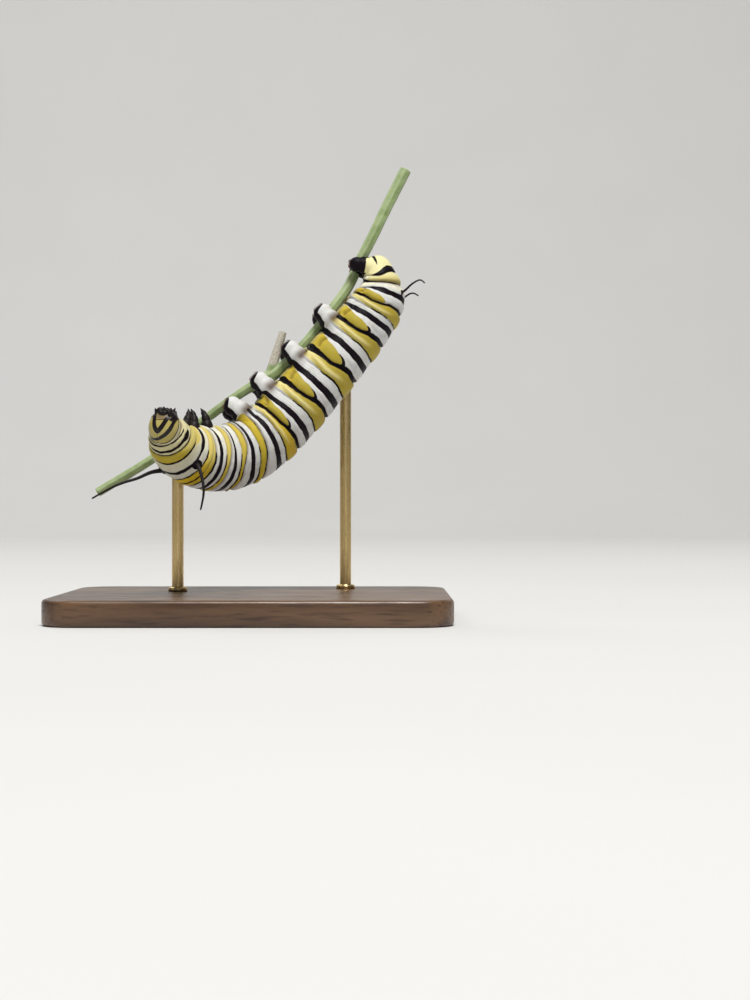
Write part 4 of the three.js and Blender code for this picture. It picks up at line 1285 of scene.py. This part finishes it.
def ribbed_tube(line, radii, around, ribs, depth, seed):
    """A tube whose radius is raised by a cosine of the angle, with a slow wander along its length."""
    rng = np.random.default_rng(seed)
    points, faces = sweep(line, np.ones(len(line)), around)
    middle = np.repeat(line, around, axis=0)
    t = np.repeat(np.linspace(0, 1, len(line)), around)
    turn = np.tile(circle(around).ravel(), len(line))
    rib = np.cos(ribs * turn + 0.6 * np.sin(t * 9 + rng.uniform(0, TAU)))
    height = depth * rib + 0.3 * depth * np.sin(t * 160 + 3 * np.cos(turn))
    raised = np.repeat(radii - RIB_ROOM, around) + height
    return middle + (points - middle) * raised[:, None], faces, rib


stem_line = chord_curve(STEM_LINE, STEM_ROWS)
stem_radii = stem_radius(np.linspace(0, 1, STEM_ROWS))
tube, tube_quads, rib = ribbed_tube(stem_line, stem_radii, STEM_AROUND, 7, 0.018, 3)
joint = stem_points[int(JOINT_SHARE * (STEM_POINTS - 1))]
stub_line = joint + STUB_DIRECTION * np.linspace(0, STUB_LENGTH, STUB_ROWS)[:, None]
stub_radii = np.linspace(STUB_RADIUS * STUB_FLARE, STUB_RADIUS, STUB_ROWS)
stub, stub_quads, stub_rib = ribbed_tube(stub_line, stub_radii, STUB_AROUND, 5, 0.014, 4)
stub_share = np.repeat(np.linspace(0, 1, STUB_ROWS), STUB_AROUND)
stem_values = {
    "rib": np.concatenate([rib, stub_rib]),
    "stub": np.concatenate([np.zeros(len(tube)), stub_share]),
}
stem_piece = joined("green_stem", [(tube, tube_quads), (stub, stub_quads)], stem_values)
flat_ends(stem_piece)
print("stem is", round(float(run_along(stem_line)[-1]), 1), "mm long")

# %% Stem finish
stem_look = Finish("green_stem")
stem_noise = stem_look.noise(1.1, 3)
fine = stem_look.noise(0.12, 3)
up = stem_look.add("SeparateXYZ", {0: stem_look.add("NewGeometry").outputs["Normal"]}).outputs["Z"]
bark = stem_look.mix(stem_look.step(fine, 0.42, 0.6), (0.42, 0.38, 0.3), (0.66, 0.63, 0.55))
stem_tone = stem_look.coats(
    (0.2, 0.29, 0.09),
    (stem_look.step(stem_noise, 0.3, 0.7), (0.33, 0.42, 0.18)),
    (stem_look.step(stem_look.value("rib"), -0.2, 1.0, 0.0, 0.35), (0.48, 0.55, 0.33)),
    # painted light: paler where the surface faces up
    (stem_look.step(up, -0.2, 0.9, 0.0, 0.4), (0.5, 0.58, 0.36)),
    (stem_look.cut("stub", stem_look.ragged(stem_noise, 0.5, 0.5), 0.12, 0.32), bark),
    (stem_look.step(fine, 0.62, 0.7, 0.0, 0.35), (0.12, 0.13, 0.05)))
stem_material = stem_look.surface(
    Base_Color=stem_tone, Roughness=0.6, Normal=stem_look.bump(fine, 0.03, 0.6), Sheen_Weight=0.3,
    Sheen_Roughness=0.5, Subsurface_Weight=0.08, Subsurface_Scale=0.0003)
finish(stem_piece, stem_material, "green_stem", "perch_stem")

# %% [markdown]
# The stand is plain: an oiled dark board with eased edges, two thin brass rods and a short brass arm
# that reaches forward to the stem. The board's outline is a rounded rectangle carried up an edge
# profile, so its faces stay flat and its edges catch a thin highlight.

# %% Board
BOARD = (46.0, 31.0, 3.0)
BOARD_CORNER = 4.0
BOARD_EASE = 0.5
CORNER_STEPS = 16
EASE_STEPS = 6


def board_points():
    """Rounded rectangle shrunk by the ease at each edge: corner arcs about four centres, then lids."""
    quarter = np.linspace(0, math.pi / 2, CORNER_STEPS)
    angles = np.concatenate([quarter + k * math.pi / 2 for k in range(4)])
    signs = np.repeat(np.array([(1, 1), (-1, 1), (-1, -1), (1, -1)]), CORNER_STEPS, axis=0)
    centres = signs * (np.array(BOARD[:2]) / 2 - BOARD_CORNER)
    arcs = np.stack([np.cos(angles), np.sin(angles)], -1)
    turn = np.linspace(0, math.pi / 2, EASE_STEPS)
    low_edge = [(BOARD_EASE * (1 - math.sin(a)), BOARD_EASE * (1 - math.cos(a))) for a in turn]
    high_edge = [(inset, BOARD[2] - z) for inset, z in low_edge[::-1]]
    edge = low_edge + high_edge
    rings = [np.insert(centres + (BOARD_CORNER - inset) * arcs, 2, z, axis=1) for inset, z in edge]
    return np.concatenate(rings), len(rings), len(angles)


board_grid, *board_size = board_points()
board = smooth_mesh("board", board_grid, tube_faces(*board_size))
flat_ends(board)
wood = Finish("oiled_wood")
GRAIN_STRETCH = (0.09, 1.0, 1.0)
year_rings = wood.streaks(wood.position(), GRAIN_STRETCH, 260.0, 4.0, 0.6)
streak = wood.streaks(wood.position(), GRAIN_STRETCH, 2600.0, 3.0)
wood_tone = wood.coats(
    (0.055, 0.026, 0.013),
    (wood.step(year_rings, 0.35, 0.68), (0.16, 0.085, 0.042)),
    (wood.step(streak, 0.5, 0.75, 0.0, 0.7), (0.035, 0.017, 0.01)))
wood_material = wood.surface(
    Base_Color=wood_tone, Roughness=wood.step(streak, 0.3, 0.8, 0.32, 0.5),
    Normal=wood.bump(streak, 0.05, 0.35), Coat_Weight=0.15, Coat_Roughness=0.25)
finish(board, wood_material, "stand_wood", "stand_base")

# %% Brass
brass = Finish("brushed_brass")
brush_marks = brass.streaks(brass.position(), (1.0, 1.0, 0.05), 9000.0, 2.0)
brass_tone = brass.mix(brass.noise(4.0), (0.62, 0.44, 0.18), (0.74, 0.56, 0.28))
brass_material = brass.surface(
    Base_Color=brass_tone, Metallic=1.0, Roughness=brass.step(brush_marks, 0.3, 0.7, 0.22, 0.4),
    Normal=brass.bump(brush_marks, 0.006, 0.5))
print("brass is ready")

# %% Rods and arm
SHORT_ROD_X = -9.6
TALL_ROD_X, TALL_ROD_Y = 10.5, 9.5
ROD_RADIUS = 0.7
ARM_RADIUS = 0.6
COLLAR_RADIUS = 1.15
COLLAR_HEIGHT = 0.5
ROD_AROUND = 48
BEVEL = 0.06
ROD_GAP = 0.12                                  # between the short rod's end and the stem
ARM_GAP = 0.04                                  # between the arm's end and the stem


def turned_rod(name, start, end, radius, collar=True, domed=False):
    """A rod turned about its line, with or without a collar at its foot, and a domed or a flat end."""
    length = float(np.linalg.norm(end - start))
    profile = [(0, radius)]
    if collar:
        profile = [(0, COLLAR_RADIUS), (COLLAR_HEIGHT * 0.7, COLLAR_RADIUS),
                   (COLLAR_HEIGHT, COLLAR_RADIUS * 0.9), (COLLAR_HEIGHT + 0.02, radius),
                   (COLLAR_HEIGHT + 0.1, radius)]
    profile += [(length * k, radius) for k in (0.25, 0.5, 0.75)]
    if domed:
        turn = np.linspace(0, 1.5, 8)
        profile += [(length - radius * (1 - math.sin(a)), radius * math.cos(a)) for a in turn]
    else:
        profile += [(length - BEVEL, radius), (length, radius - BEVEL)]
    distance, radii = np.array(profile).T
    line = start + unit(end - start) * distance[:, None]
    rod = smooth_mesh(name, *sweep(line, radii, ROD_AROUND, (0.3, 0.5, 0.8)))
    finish(rod, brass_material, "stand_brass", "stand_" + name)


def stem_at_x(x):
    """Point of the stem's line nearest to an X, and the stem's radius there."""
    k = int(np.abs(stem_points[:, 0] - x).argmin())
    return stem_points[k], float(stem_radius(stem_shares[k]))


short_top, short_room = stem_at_x(SHORT_ROD_X)
short_foot = np.array([*short_top[:2], BOARD[2]])
turned_rod("rod_front", short_foot, short_top - [0, 0, short_room + ROD_GAP], ROD_RADIUS)
arm_end, arm_room = stem_at_x(TALL_ROD_X)
tall_foot = np.array([arm_end[0], TALL_ROD_Y, BOARD[2]])
tall_end = np.array([*tall_foot[:2], arm_end[2] + ARM_RADIUS])
turned_rod("rod_back", tall_foot, tall_end, ROD_RADIUS, domed=True)
arm_start = np.array([arm_end[0], TALL_ROD_Y - ROD_RADIUS * 0.6, arm_end[2]])
arm_tip = arm_end + [0, arm_room + ARM_GAP, 0]
turned_rod("arm_back", arm_start, arm_tip, ARM_RADIUS, collar=False)

# %% [markdown]
# Last comes the end of the lesson.

# %% The end
print("the scene is built")
